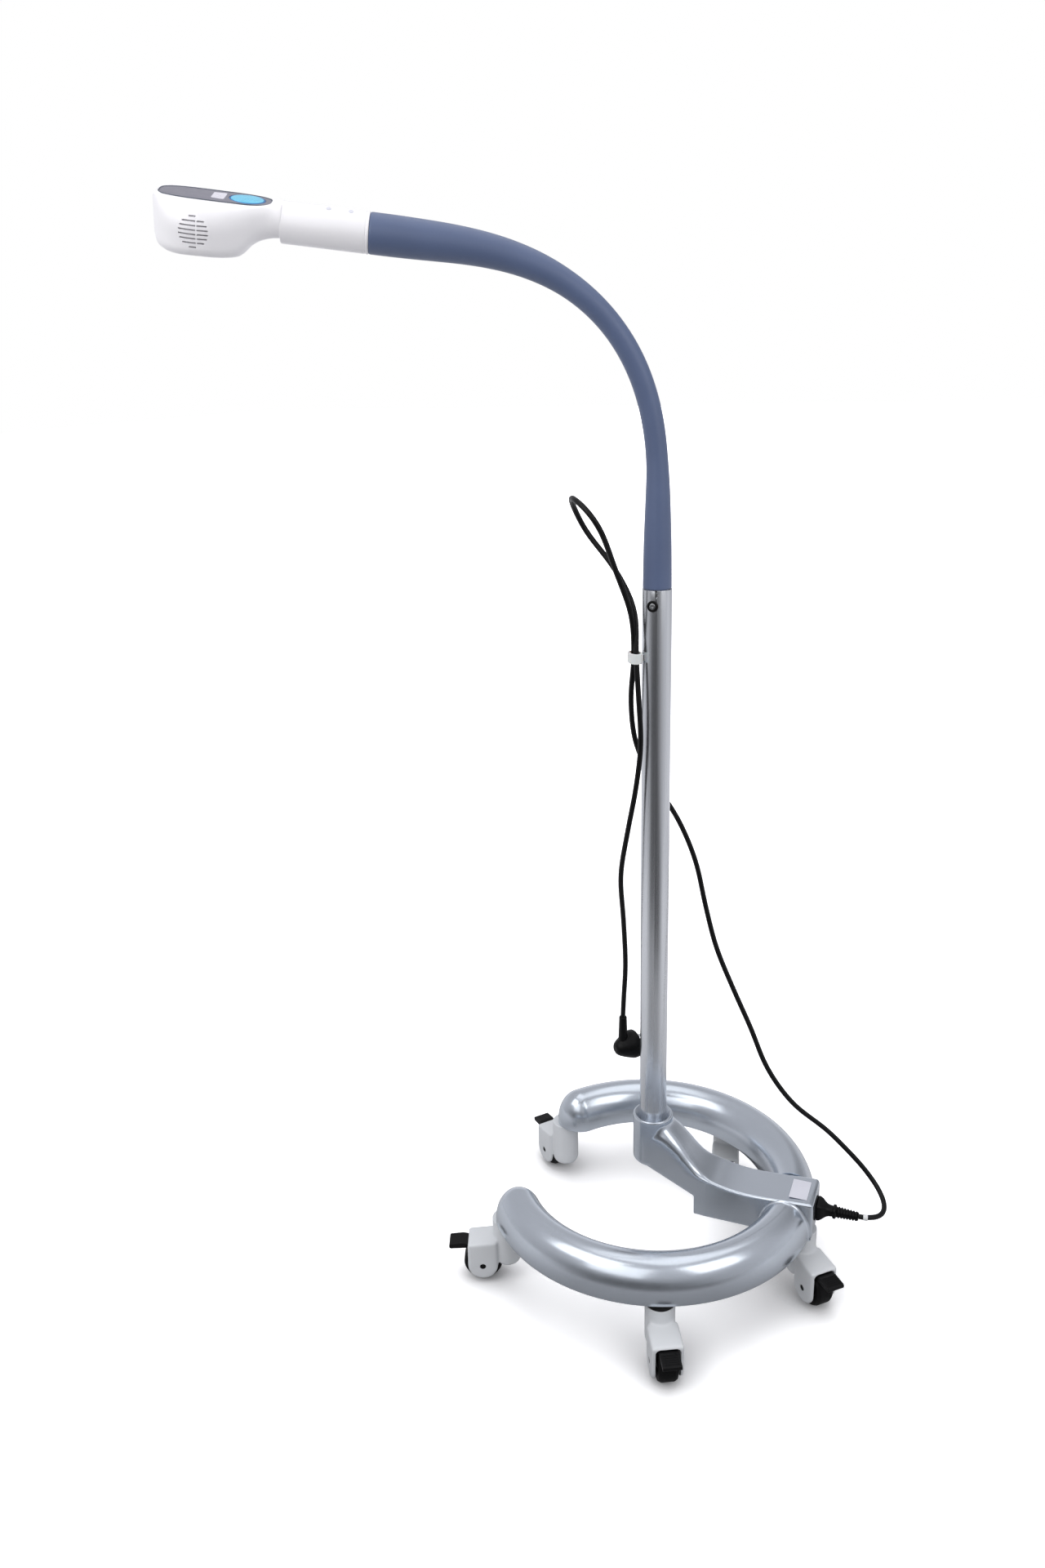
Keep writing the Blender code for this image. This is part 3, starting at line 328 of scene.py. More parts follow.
def rounded_profile(pts, radius, n=5, closed=False):
    """Round the corners of a (r, z) polyline with arcs of about the given radius."""
    pts = [Vector(p) for p in pts]
    out = []
    m_ = len(pts)
    for i, p in enumerate(pts):
        if not closed and i in (0, m_ - 1):
            out.append(tuple(p))
            continue
        a, b = pts[i - 1], pts[(i + 1) % m_]
        da, db = (a - p), (b - p)
        la, lb = da.length, db.length
        if la < 1e-9 or lb < 1e-9:
            out.append(tuple(p))
            continue
        da, db = da / la, db / lb
        ang = acos(max(-1, min(1, da.dot(db))))
        if ang > radians(172) or ang < radians(3):
            out.append(tuple(p))
            continue
        rad = radius[i] if isinstance(radius, (list, tuple)) else radius
        d = min(rad / tan(ang / 2), 0.45 * la, 0.45 * lb)
        if d < 1e-7:
            out.append(tuple(p))
            continue
        s, e = p + da * d, p + db * d
        rr = d * tan(ang / 2)
        c = p + (da + db).normalized() * (rr / sin(ang / 2))
        v0, v1 = s - c, e - c
        tot = acos(max(-1, min(1, v0.dot(v1) / (v0.length * v1.length + 1e-18))))
        sgn = 1 if v0.x * v1.y - v0.y * v1.x > 0 else -1
        for k in range(n + 1):
            t = sgn * tot * k / n
            out.append((c.x + v0.x * cos(t) - v0.y * sin(t), c.y + v0.x * sin(t) + v0.y * cos(t)))
    return out


def prism(name, pts, z0, z1, mat=None, **kw):
    bm = bmesh.new()
    lo = [bm.verts.new((x, y, z0)) for x, y in pts]
    hi = [bm.verts.new((x, y, z1)) for x, y in pts]
    n = len(pts)
    for i in range(n):
        bm.faces.new((lo[i], lo[(i + 1) % n], hi[(i + 1) % n], hi[i]))
    bm.faces.new(lo)
    bm.faces.new(hi)
    return new_obj(name, bm, mat, **kw)


def block(name, lo, hi, mat=None, bevel=0.0, segs=3, **kw):
    bm = bmesh.new()
    bmesh.ops.create_cube(bm, size=1.0)
    for v in bm.verts:
        for k in range(3):
            v.co[k] = lo[k] if v.co[k] < 0 else hi[k]
    if bevel:
        bmesh.ops.bevel(bm, geom=list(bm.edges), offset=bevel, segments=segs, profile=0.5, affect="EDGES")
    return new_obj(name, bm, mat, **kw)


def rod(name, r, p0, p1, n=32, mat=None, **kw):
    p0, p1 = Vector(p0), Vector(p1)
    bm = bmesh.new()
    bmesh.ops.create_cone(bm, cap_ends=True, segments=n, radius1=r, radius2=r, depth=(p1 - p0).length)
    q = (p1 - p0).normalized().to_track_quat("Z", "Y").to_matrix().to_4x4()
    bmesh.ops.transform(bm, matrix=Matrix.Translation((p0 + p1) / 2) @ q, verts=bm.verts)
    return new_obj(name, bm, mat, **kw)


def bake(o):
    bpy.context.view_layer.update()
    dg = bpy.context.evaluated_depsgraph_get()
    me = bpy.data.meshes.new_from_object(o.evaluated_get(dg))
    o.modifiers.clear()
    old = o.data
    o.data = me
    bpy.data.meshes.remove(old)
    return o


def drop(*objs):
    for o in objs:
        me = o.data
        bpy.data.objects.remove(o, do_unlink=True)
        bpy.data.meshes.remove(me)


def boolean(o, op, *tools, keep=False):
    for t in tools:
        md = o.modifiers.new("b", "BOOLEAN")
        md.operation = op
        md.solver = "EXACT"
        md.object = t
        bake(o)
        if not keep:
            drop(t)
    return o


def melt(o, voxel, smooth=6, factor=0.5):
    """Turn a joined shape into one skin with soft edges."""
    md = o.modifiers.new("v", "REMESH")
    md.mode = "VOXEL"
    md.voxel_size = voxel
    md.use_smooth_shade = True
    bake(o)
    if smooth:
        s = o.modifiers.new("s", "SMOOTH")
        s.factor = factor
        s.iterations = smooth
        bake(o)
    finish_shade(o, True, None)
    return o


def paint(o, mat):
    o.data.materials.clear()
    o.data.materials.append(M[mat])
    return o


def put(o, matrix=Matrix.Identity(4)):
    """Model frame -> row frame, written into the mesh."""
    o.data.transform(ROOT @ matrix)
    o.data.update()
    return o


def ease(x, xs, ys):
    xs, ys = np.asarray(xs, float), np.asarray(ys, float)
    d = np.gradient(ys, xs)
    i = int(np.clip(np.searchsorted(xs, x) - 1, 0, len(xs) - 2))
    h = xs[i + 1] - xs[i]
    t = min(max((x - xs[i]) / h, 0), 1)
    return float((2 * t**3 - 3 * t * t + 1) * ys[i] + (t**3 - 2 * t * t + t) * h * d[i]
                 + (-2 * t**3 + 3 * t * t) * ys[i + 1] + (t**3 - t * t) * h * d[i + 1])


def done(o, body, nodes=()):
    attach(o, body)
    if nodes:
        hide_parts(*([nodes] if isinstance(nodes, str) else nodes))
    return o


# ------------------------------------------------------------------ mains lead
WAY = [(CONN_END + FIT, 0.0, CONN_Z + 0.0004), (0.2808, 0.0003, 0.1350), (0.2912, 0.0035, 0.1343), (0.3014, 0.0148, 0.1319), (0.3046, 0.0321, 0.1317),
       (0.3000, 0.0466, 0.1359), (0.2925, 0.0555, 0.1430), (0.2837, 0.0603, 0.1517), (0.2645, 0.0627, 0.1724), (0.2226, 0.0592, 0.2137),
       (0.1773, 0.0499, 0.2514), (0.1421, 0.0468, 0.2995), (0.1173, 0.0506, 0.3535), (0.0913, 0.0540, 0.4064), (0.0673, 0.0571, 0.4602),
       (0.0507, 0.0607, 0.5170), (0.0367, 0.0617, 0.5749), (0.0159, 0.0539, 0.6309), (-0.0092, 0.0329, 0.6854), (-0.0267, 0.0071, 0.7428),
       (-0.0304, -0.0036, 0.8002), (-0.0242, -0.0126, 0.8561), (-0.0251, -0.0203, 0.9078), (-0.0397, -0.0319, 0.9591), (-0.0474, -0.0593, 1.0060),
       (-0.0609, -0.0650, 1.0290), (-0.0810, -0.0524, 1.0414), (-0.0953, -0.0243, 1.0377), (-0.0951, -0.0031, 1.0174), (-0.0848, 0.0044, 0.9951),
       (-0.0503, 0.0001, 0.9551), (-0.0248, -0.0086, 0.9103), (-0.0193, -0.0192, 0.8575), (-0.0149, -0.0228, 0.8057), (-0.0127, -0.0219, 0.7515), (-0.0194, -0.0194, 0.6948),
       (-0.0311, -0.0149, 0.6356), (-0.0424, -0.0070, 0.5726), (-0.0426, 0.0049, 0.5066), (-0.0424, 0.0129, 0.4399), (-0.0450, 0.0139, 0.3903),
       (-0.0461, 0.0135, 0.3608)]


def route(way, step):
    """Evenly spaced points on a smoothed Catmull-Rom curve through the waypoints."""
    w = [Vector(p) for p in way]
    w = [w[0] * 2 - w[1]] + w + [w[-1] * 2 - w[-2]]
    fine = []
    for i in range(1, len(w) - 2):
        p0, p1, p2, p3 = w[i - 1:i + 3]
        for t in np.linspace(0, 1, 24, endpoint=False):
            fine.append(0.5 * ((2 * p1) + (p2 - p0) * t + (2 * p0 - 5 * p1 + 4 * p2 - p3) * t**2 + (3 * p1 - p0 - 3 * p2 + p3) * t**3))
    fine.append(w[-2])
    d = np.concatenate([[0], np.cumsum([(b - a).length for a, b in zip(fine[:-1], fine[1:])])])
    f = np.array([tuple(p) for p in fine])
    n = int(d[-1] / step)
    at = np.linspace(0, d[-1], n + 1)
    p = np.stack([np.interp(at, d, f[:, k]) for k in range(3)], 1)
    for _ in range(6):                                  # soften the knots between spans
        q = p.copy()
        q[2:-2] = 0.25 * p[1:-3] + 0.5 * p[2:-2] + 0.25 * p[3:-1]
        p = q
    return p


pts = route(WAY, 0.005)
cu = bpy.data.curves.new("mains_lead", "CURVE")
cu.dimensions = "3D"
cu.bevel_depth = CORD_D / 2
cu.bevel_resolution = 5
cu.use_fill_caps = True
sp = cu.splines.new("POLY")
sp.points.add(len(pts) - 1)
for q, p in zip(sp.points, pts):
    q.co = (p[0] - OX, p[1] - OY, p[2] - FLOOR_Z, 1.0)
sp.use_smooth = True
cu.materials.append(M["cord"])
lead = bpy.data.objects.new("mains_lead", cu)
bpy.context.scene.collection.objects.link(lead)
done(lead, "base", "mains_cord")


def rrect(x, hw, hh, rc, n=7, cz=CONN_Z):
    out = []
    for sy, sz, a0 in ((1, 1, 0), (-1, 1, 90), (-1, -1, 180), (1, -1, 270)):
        out += [(x, sy * (hw - rc) + rc * cos(radians(a0 + t)), cz + sz * (hh - rc) + rc * sin(radians(a0 + t))) for t in np.linspace(0, 90, n)]
    return out


secs = [(0.2078, 0.0112, 0.0077, 0.002), (0.2224, 0.0112, 0.0077, 0.002), (0.2225, 0.0122, 0.0110, 0.003), (0.2231, 0.0128, 0.0117, 0.0035), (0.2258, 0.0127, 0.0116, 0.004),
        (0.2288, 0.0115, 0.0106, 0.0045), (0.2318, 0.0095, 0.0090, 0.005), (0.2348, 0.0078, 0.0073, 0.005), (0.2383, 0.0070, 0.0064, 0.005), (0.2421, 0.0068, 0.0062, 0.005),
        (0.2426, 0.0076, 0.0072, 0.005), (0.2433, 0.0082, 0.0078, 0.005), (0.2457, 0.0082, 0.0078, 0.005), (0.2464, 0.0075, 0.0072, 0.005), (0.2469, 0.0066, 0.0063, 0.005)]
x = 0.2485
while x < CONN_END - 0.004:                             # ribbed strain relief
    k = (x - 0.2485) / (CONN_END - 0.2485)
    r = 0.0067 - 0.0010 * k
    secs += [(x, r - 0.0009, r - 0.0009, 0.0048), (x + 0.0006, r, r, 0.0050), (x + 0.0021, r, r, 0.0050), (x + 0.0027, r - 0.0009, r - 0.0009, 0.0048)]
    x += 0.0037
secs += [(CONN_END - 0.0008, 0.0054, 0.0054, 0.0048), (CONN_END, 0.0046, 0.0046, 0.0044)]
conn = put(loft("line_connector_body", [rrect(*s) for s in secs], "black", sharp=50.0))
done(conn, "base", "line_connector")

band = put(lathe("lead_band", rounded_profile([(CORD_D / 2 + 0.0001, 0.0028), (CORD_D / 2 + 0.0006, 0.0028), (CORD_D / 2 + 0.0006, -0.0028), (CORD_D / 2 + 0.0001, -0.0028)], 0.0003, 3, True),
                 32, "nylon", closed=True), Matrix.Translation((0.2833, 0.00065, 0.1350)) @ Matrix.Rotation(radians(8), 4, "Z") @ Matrix.Rotation(pi / 2, 4, "Y"))
done(band, "base")

# plug with its moulded grip and two pins
PLUG_M = Matrix.Translation(WAY[-1]) @ Matrix.Rotation(radians(50.0), 4, "Z")
PLUG_Z = -0.0468
AX = Matrix.Rotation(pi / 2, 4, "Y")
plug = lathe("mains_plug_body", rounded_profile([(0.0, 0.0195), (0.0190, 0.0195), (0.0190, 0.0122), (0.0176, 0.0085), (0.0142, 0.0), (0.0110, -0.0067),
                                                 (0.0082, -0.0104), (0.0045, -0.0125), (0.0, -0.0125)], [0, 0.0016, 0.002, 0.01, 0.02, 0.01, 0.006, 0.004, 0], 5), 72)
plug.data.transform(Matrix.Translation((0, 0, PLUG_Z)) @ AX)
rel = lathe("t", rounded_profile([(0.0, -FIT), (0.0044, -FIT), (0.0051, -0.0012), (0.0059, -0.0260), (0.0066, -0.0400), (0.0, -0.0400)], 0.0006, 3), 40)
plug = melt(boolean(plug, "UNION", rel), 0.0007, 6)
paint(plug, "black")
put(plug, PLUG_M)
done(plug, "base", "mains_plug")
for k, z in enumerate((PLUG_Z + 0.0095, PLUG_Z - 0.0095)):
    pin = lathe("plug_pin_%d" % (k + 1), rounded_profile([(0.0, 0.0385), (0.0020, 0.0385), (0.0020, 0.0190), (0.0, 0.0190)], 0.0007, 4), 24, "steel")
    put(pin, PLUG_M @ Matrix.Translation((0, 0, z)) @ AX)
    done(pin, "base")

# tie ring that bundles the two strands on the column
CLIP_M = Matrix.Translation((-0.0217, -0.0162, 0.8569)) @ Matrix.Rotation(radians(-54.0), 4, "Z")


def oval(cx, a, b, p=2.0, n=96):
    out = []
    for t in np.linspace(0, 2 * pi, n, endpoint=False):
        c, s = cos(t), sin(t)
        out.append((cx + a * abs(c)**(2 / p) * (1 if c >= 0 else -1), b * abs(s)**(2 / p) * (1 if s >= 0 else -1)))
    return out


clip = prism("lead_tie_ring", oval(0, 0.0122, 0.0078, 2.4), -0.0060, 0.0060)
boolean(clip, "UNION", block("t", (-0.0035, 0.0050, -0.0040), (0.0035, 0.00925, 0.0040)))
boolean(clip, "DIFFERENCE", prism("t", oval(0, 0.0096, 0.0052, 2.4), -0.02, 0.02))
melt(clip, 0.0004, 6)
paint(clip, "nylon")
put(clip, CLIP_M)
done(clip, "base", "cord_clip")


# ------------------------------------------------------------------ base legs
def leg_section(k, w, z0, zs, hb, n, edge):
    """Inverted U with rounded lower edges, and the hollow channel inside it."""
    pts = [(w * k - edge, z0), (w * k - 0.3 * edge, z0 + 0.3 * edge), (w * k, z0 + edge)]
    pts += [(w * k * cos(t), zs + hb * k * sin(t)) for t in np.linspace(0, pi, n)]
    pts += [(-w * k, z0 + edge), (-w * k + 0.3 * edge, z0 + 0.3 * edge), (-w * k + edge, z0)]
    wi, hi = max(w * k - 0.004, 0.02 * w * k), max(hb * k - 0.004, 0.02 * hb * k)
    pts += [(-wi, z0)]
    pts += [(wi * cos(t), min(zs, zs) + hi * sin(t)) for t in np.linspace(pi, 0, 13)]
    pts += [(wi, z0)]
    return pts


for name, side in (("front", -1), ("back", 1)):
    rings = []
    y0 = BOX_HW + FIT
    steps, dome = 150, 22
    ts = np.concatenate([np.linspace(0, 0.02, 9)[:-1], np.linspace(0.02, 1, steps)])
    for t in ts:
        d = t * radians(RING_END - 9.0) * RING_R
        e = 0.0030 * (1 - sqrt(max(0.0, 1 - max(0.0, 1 - d / 0.0045)**2)))
        ring = []
        for u, z in leg_section(1.0, RING_W + e, RING_Z0, RING_ZS, RING_HB + e * 0.9, 41, 0.0022):
            r = RING_R + u
            a = asin(y0 / r)
            a = a + (radians(RING_END) - a) * t
            ring.append((RING_CX + r * cos(a), side * r * sin(a), z))
        rings.append(ring)
    for j in range(1, dome + 1):
        d = sin(j / dome * radians(88.0))
        k = sqrt(1 - d * d)
        a = radians(RING_END) + d * RING_W / RING_R
        rings.append([(RING_CX + (RING_R + u) * cos(a), side * (RING_R + u) * sin(a), z) for u, z in leg_section(k, RING_W, RING_Z0, RING_ZS, RING_HB, 41, 0.0022 * k)])
    leg = put(loft("leg_" + name, rings, "silver", sharp=40.0))
    done(leg, "base", "base_leg_" + name)


# ------------------------------------------------------------------ arm housing
def arm_section(x, n=14):
    top = ease(x, [0.0, 0.022, 0.034, 0.046, 0.058, 0.070, 0.084, 0.100, 0.22], [0.224, 0.222, 0.213, 0.200, 0.184, 0.171, 0.1625, BOX_TOP, BOX_TOP])
    bot = 0.1600 - 0.438 * max(x, 0.0) if x < BOX_X0 else RING_Z0
    hw = 0.0255 + (BOX_HW - 0.0255) * min(max(x / 0.08, 0), 1)
    f = min(max((x - 0.034) / 0.062, 0), 1)
    crown = 0.020 - 0.0168 * f * f * (3 - 2 * f)
    pts = []
    pts += [(-hw + 0.003, bot), (hw - 0.003, bot), (hw - 0.0009, bot + 0.0009), (hw, bot + 0.003)]
    ca, cb = min(crown * 1.05, hw - 0.001), crown
    pts += [(hw - ca + ca * cos(t), top - cb + cb * sin(t)) for t in np.linspace(0, pi / 2, n)]
    pts += [(-hw + ca - ca * sin(t), top - cb + cb * cos(t)) for t in np.linspace(0, pi / 2, n)]
    pts += [(-hw, bot + 0.003), (-hw + 0.0009, bot + 0.0009)]
    return [(x, y, z) for y, z in pts]


xs = list(np.linspace(0.0, BOX_X0 - 0.0002, 34)) + [BOX_X0] + list(np.linspace(BOX_X0 + 0.002, 0.11, 24)) + list(np.linspace(0.116, BOX_X1 - 0.0045, 18))
rings = [arm_section(x) for x in xs]
last = rings[-1]
for t in np.linspace(15, 90, 6):                        # rounded end face
    g = 0.0045 * (1 - cos(radians(t)))
    zc, hz = (RING_Z0 + BOX_TOP) / 2, (BOX_TOP - RING_Z0) / 2
    rings.append([(BOX_X1 - 0.0045 + 0.0045 * sin(radians(t)), y * (BOX_HW - g) / BOX_HW, zc + (z - zc) * (hz - g) / hz) for _, y, z in last])
housing = loft("arm_housing_body", rings)
sock = lathe("t", rounded_profile([(0.0, SOCKET_TOP - 0.0030), (SOCKET_R - 0.0045, SOCKET_TOP - 0.0030), (SOCKET_R - 0.0030, SOCKET_TOP), (SOCKET_R, SOCKET_TOP - 0.0010), (SOCKET_R, SOCKET_BOT), (0.0, SOCKET_BOT)],
                                  [0, 0.001, 0.002, 0.003, 0.006, 0], 6), 96)
boolean(housing, "UNION", sock)
melt(housing, 0.0010, 5)
vg = housing.vertex_groups.new(name="fillet")           # wide fillet where the arm leaves the socket
for v in housing.data.vertices:
    x, y, z = v.co
    wgt = min(1, max(0, (x - 0.008) / 0.010)) * min(1, max(0, (0.085 - x) / 0.02)) * min(1, max(0, (0.2235 - z) / 0.006)) * min(1, max(0, (z - 0.158) / 0.012))
    if wgt > 0:
        vg.add([v.index], wgt, "REPLACE")
md = housing.modifiers.new("f", "SMOOTH")
md.vertex_group = "fillet"
md.factor = 0.5
md.iterations = 260
bake(housing)
housing.vertex_groups.clear()
bore = lathe("t", [(0.0, 0.27), (SOCKET_R - 0.0022, 0.27), (SOCKET_R - 0.0028, SOCKET_TOP - 0.0005), (COL_R + 0.0022, SOCKET_TOP - 0.0072), (COL_R + FIT, SOCKET_TOP - 0.0080), (COL_R + FIT, COL_BOT - 0.0005), (0.0, COL_BOT - 0.0005)], 72)
cav = block("t", (0.0720, -0.0255, 0.09), (0.1860, 0.0255, 0.1520))
incut = block("t", (0.1850, -0.0142, 0.1235), (0.23, 0.0142, 0.1455))
stemc = rod("t", 0.0054, (*STEM_XY[0], 0.09), (*STEM_XY[0], 0.1204), 24)
boolean(housing, "DIFFERENCE", bore, cav, incut, stemc)
finish_shade(housing, True, 40.0)
paint(housing, "silver")
put(housing)
done(housing, "base", "arm_housing")

# blank data plate near the end of the housing
plate = put(block("blank_plate", (0.1880, -0.0205, BOX_TOP - 0.0001), (0.2110, 0.0180, BOX_TOP + 0.00025), "label", 0.0001, 1))
done(plate, "base")

inlet = block("mains_inlet_body", (0.1900, -0.0138, 0.1239), (BOX_X1 + 0.0015, 0.0138, 0.1451), None, 0.0016, 4)
boolean(inlet, "DIFFERENCE", block("t", (0.2020, -0.0118, 0.1262), (0.24, 0.0118, 0.1428), None, 0.001, 2))
finish_shade(inlet, True, 35.0)
paint(inlet, "black")
put(inlet)
done(inlet, "base", "power_inlet")

# ------------------------------------------------------------------ column, screw
col = lathe("column_tube", rounded_profile([(COL_R - 0.0020, COL_TOP), (COL_R, COL_TOP), (COL_R, COL_BOT), (COL_R - 0.0020, COL_BOT)], 0.0005, 3, True), 128, None, closed=True)
SCREW_Z = COL_TOP - 0.0175
SLOT_A = radians(-78.0)
sl = prism("t", [(0.0014 * cos(t), 0.0014 * sin(t) - 0.0) for t in np.linspace(pi, 2 * pi, 12)] + [(0.0014, 0.02), (-0.0014, 0.02)], 0.010, 0.022)
sl.data.transform(Matrix.Rotation(SLOT_A, 4, "Z") @ Matrix.Translation((0, 0, COL_TOP - 0.0076)) @ Matrix(((0, 0, 1, 0), (1, 0, 0, 0), (0, 1, 0, 0), (0, 0, 0, 1))))
boolean(col, "DIFFERENCE", rod("t", 0.0034, (0, -0.03, SCREW_Z), (0, -0.005, SCREW_Z)), sl)
finish_shade(col, True, 30.0)
paint(col, "column")
put(col)
done(col, "base", "column")

SC_M = Matrix.Translation((0, -0.0178, SCREW_Z)) @ Matrix.Rotation(pi / 2, 4, "X")
ringm = put(lathe("screw_rosette", rounded_profile([(0.0038, 0.0030), (0.0056, 0.0030), (0.0066, 0.0020), (0.0066, 0.0), (0.0038, 0.0)], 0.0006, 4, True), 48, "black", closed=True), SC_M)
done(ringm, "base", "clamp_screw")
scr = lathe("screw_head", rounded_profile([(0.0, 0.0027), (0.0035, 0.0027), (0.0037, 0.0018), (0.0037, 0.0002), (0.0029, 0.0), (0.0029, -0.0075), (0.0, -0.0075)], 0.0004, 3), 40)
hexc = prism("t", [(0.0019 * cos(radians(60 * k)), 0.0019 * sin(radians(60 * k))) for k in range(6)], 0.0012, 0.01)
boolean(scr, "DIFFERENCE", hexc)
finish_shade(scr, True, 30.0)
paint(scr, "steel")
put(scr, SC_M)
done(scr, "base")

# ------------------------------------------------------------------ gooseneck
S_DIR = Vector((cos(radians(GN_AZ)), sin(radians(GN_AZ)), 0.0))
B_DIR = Vector((0, 0, 1)).cross(S_DIR)
_l = np.linspace(0.0, 0.70, 1201)
_u = np.clip((_l - GN_L0) / (GN_L1 - GN_L0), 0, 1)
_th = pi / 2 - radians(GN_TURN) * (3 * _u**2 - 2 * _u**3)
_d = _l[1] - _l[0]
_s = np.concatenate([[0], np.cumsum(np.cos(_th[:-1]) * _d)])
_z = COL_TOP + np.concatenate([[0], np.cumsum(np.sin(_th[:-1]) * _d)])


def gn_frame(l):
    s, z, th = np.interp(l, _l, _s), np.interp(l, _l, _z), np.interp(l, _l, _th)
    x = S_DIR * cos(th) + Vector((0, 0, sin(th)))
    n = x.cross(B_DIR)
    mt = Matrix((x, B_DIR, n)).transposed().to_4x4()
    mt.translation = S_DIR * s + Vector((0, 0, z + min(l, 0.0)))
    return mt


def sleeve_r(l):
    r = ease(l, [0.0, 0.05, 0.10, 0.14, 0.19, 0.25, 0.31, 0.36, 0.41, 0.46, 0.51, 0.545, 0.60],
             [0.0168, 0.0160, 0.0142, 0.0125, 0.0122, 0.0122, 0.0125, 0.0135, 0.0155, 0.0177, 0.0196, 0.0204, 0.0205])
    d0, d1 = l - FIT, GN_L - FIT - l                    # rolled ends
    for d in (d0, d1):
        if d < 0.0016:
            r -= 0.0012 * (1 - sqrt(max(0.0, 1 - (1 - max(d, 0) / 0.0016)**2)))
    return r


cuts = [FIT] + [(a + b) / 2 for a, b in zip(GN_J[:-1], GN_J[1:])] + [GN_L - FIT]
hides = [["gooseneck_boot"], ["gooseneck_sleeve_1"], ["gooseneck_sleeve_2"], ["gooseneck_sleeve_3"], ["gooseneck_sleeve_4", "gooseneck_tip"]]
NS = 56
for k in range(5):
    l0, l1 = cuts[k], cuts[k + 1]
    ls = list(np.linspace(l0, l1, max(8, int((l1 - l0) / 0.0022))))
    if k == 0:
        ls = [l0 + 0.0016 * (1 - cos(t)) for t in np.linspace(0, pi / 2, 6)[:-1]] + [l for l in ls if l > l0 + 0.0016]
    if k == 4:
        ls = [l for l in ls if l < l1 - 0.0016] + [l1 - 0.0016 * (1 - cos(t)) for t in np.linspace(pi / 2, 0, 6)[1:]]
    rings = []
    for l in ls:
        f = ROOT @ gn_frame(l)
        r = sleeve_r(l)
        rings.append([f @ Vector((0, r * cos(t), r * sin(t))) for t in np.linspace(0, 2 * pi, NS, endpoint=False)])
    seg = loft("gooseneck_skin_%d" % (k + 1), rings, "sleeve", sharp=None)
    me = seg.data
    nrm = []
    for l in ls:                                        # normals from the curve itself, so the lengths meet unseen
        f = (ROOT @ gn_frame(l)).to_3x3()
        g = (sleeve_r(min(l + 0.0004, GN_L - FIT)) - sleeve_r(max(l - 0.0004, FIT))) / 0.0008
        nrm += [(f @ Vector((-g, cos(t), sin(t)))).normalized() for t in np.linspace(0, 2 * pi, NS, endpoint=False)]
    me.normals_split_custom_set_from_vertices([tuple(v) for v in nrm])
    lj = GN_J[k]
    reach = min(lj - cuts[k], cuts[k + 1] - lj) - 0.010 if k < 4 else 0.018
    reach = max(reach, 0.018)
    a = (ROOT @ gn_frame(lj - reach)).translation
    b = (ROOT @ gn_frame(lj + reach)).translation
    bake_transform(seg)
    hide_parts(*hides[k])

# ------------------------------------------------------------------ head
END_M = gn_frame(GN_L)
HEAD_M = END_M @ Matrix.Translation((NECK_LEN, 0, 0)) @ Matrix.Rotation(radians(-HEAD_ROLL), 4, "X")
NECK_M = END_M @ Matrix.Rotation(radians(-HEAD_ROLL), 4, "X")
neck = lathe("neck_tube", rounded_profile([(NECK_R - 0.0028, NECK_LEN - FIT), (NECK_R, NECK_LEN - FIT), (NECK_R, 0.0042), (NECK_R - 0.0005, 0.0036), (NECK_R - 0.0005, 0.0030), (NECK_R + 0.0002, 0.0024), (NECK_R + 0.0002, 0.0), (NECK_R - 0.0028, 0.0)],
                                          [0.0003, 0.0020, 0.0003, 0.0002, 0.0002, 0.0004, 0.0012, 0.0004], 6, True), 96, "white", closed=True)
put(neck, END_M @ AX)
done(neck, "head", "neck_sleeve")
for k, x in enumerate((0.0425, 0.0195)):                # two low screw caps on top of the sleeve
    cap = lathe("sleeve_screw_cap_%d" % (k + 1), rounded_profile([(0.0, 0.0007), (0.0010, 0.0007), (0.0028, 0.0004), (0.0031, -0.0006), (0.0, -0.0006)], 0.0004, 4), 40, "label")
    put(cap, END_M @ Matrix.Rotation(radians(57.0), 4, "X") @ Matrix.Translation((x, NECK_R - 0.0002, 0)) @ Matrix.Rotation(-pi / 2, 4, "X"))
    done(cap, "head")

HB_X, HB_R = 0.0845, 0.0458
P_TOP = 0.0173
PAN_X, PAN_A, PAN_B, PAN_P = 0.0670, 0.0573, 0.0203, 3.4
BTN_X, BTN_A, BTN_B = 0.0346, 0.0185, 0.0160


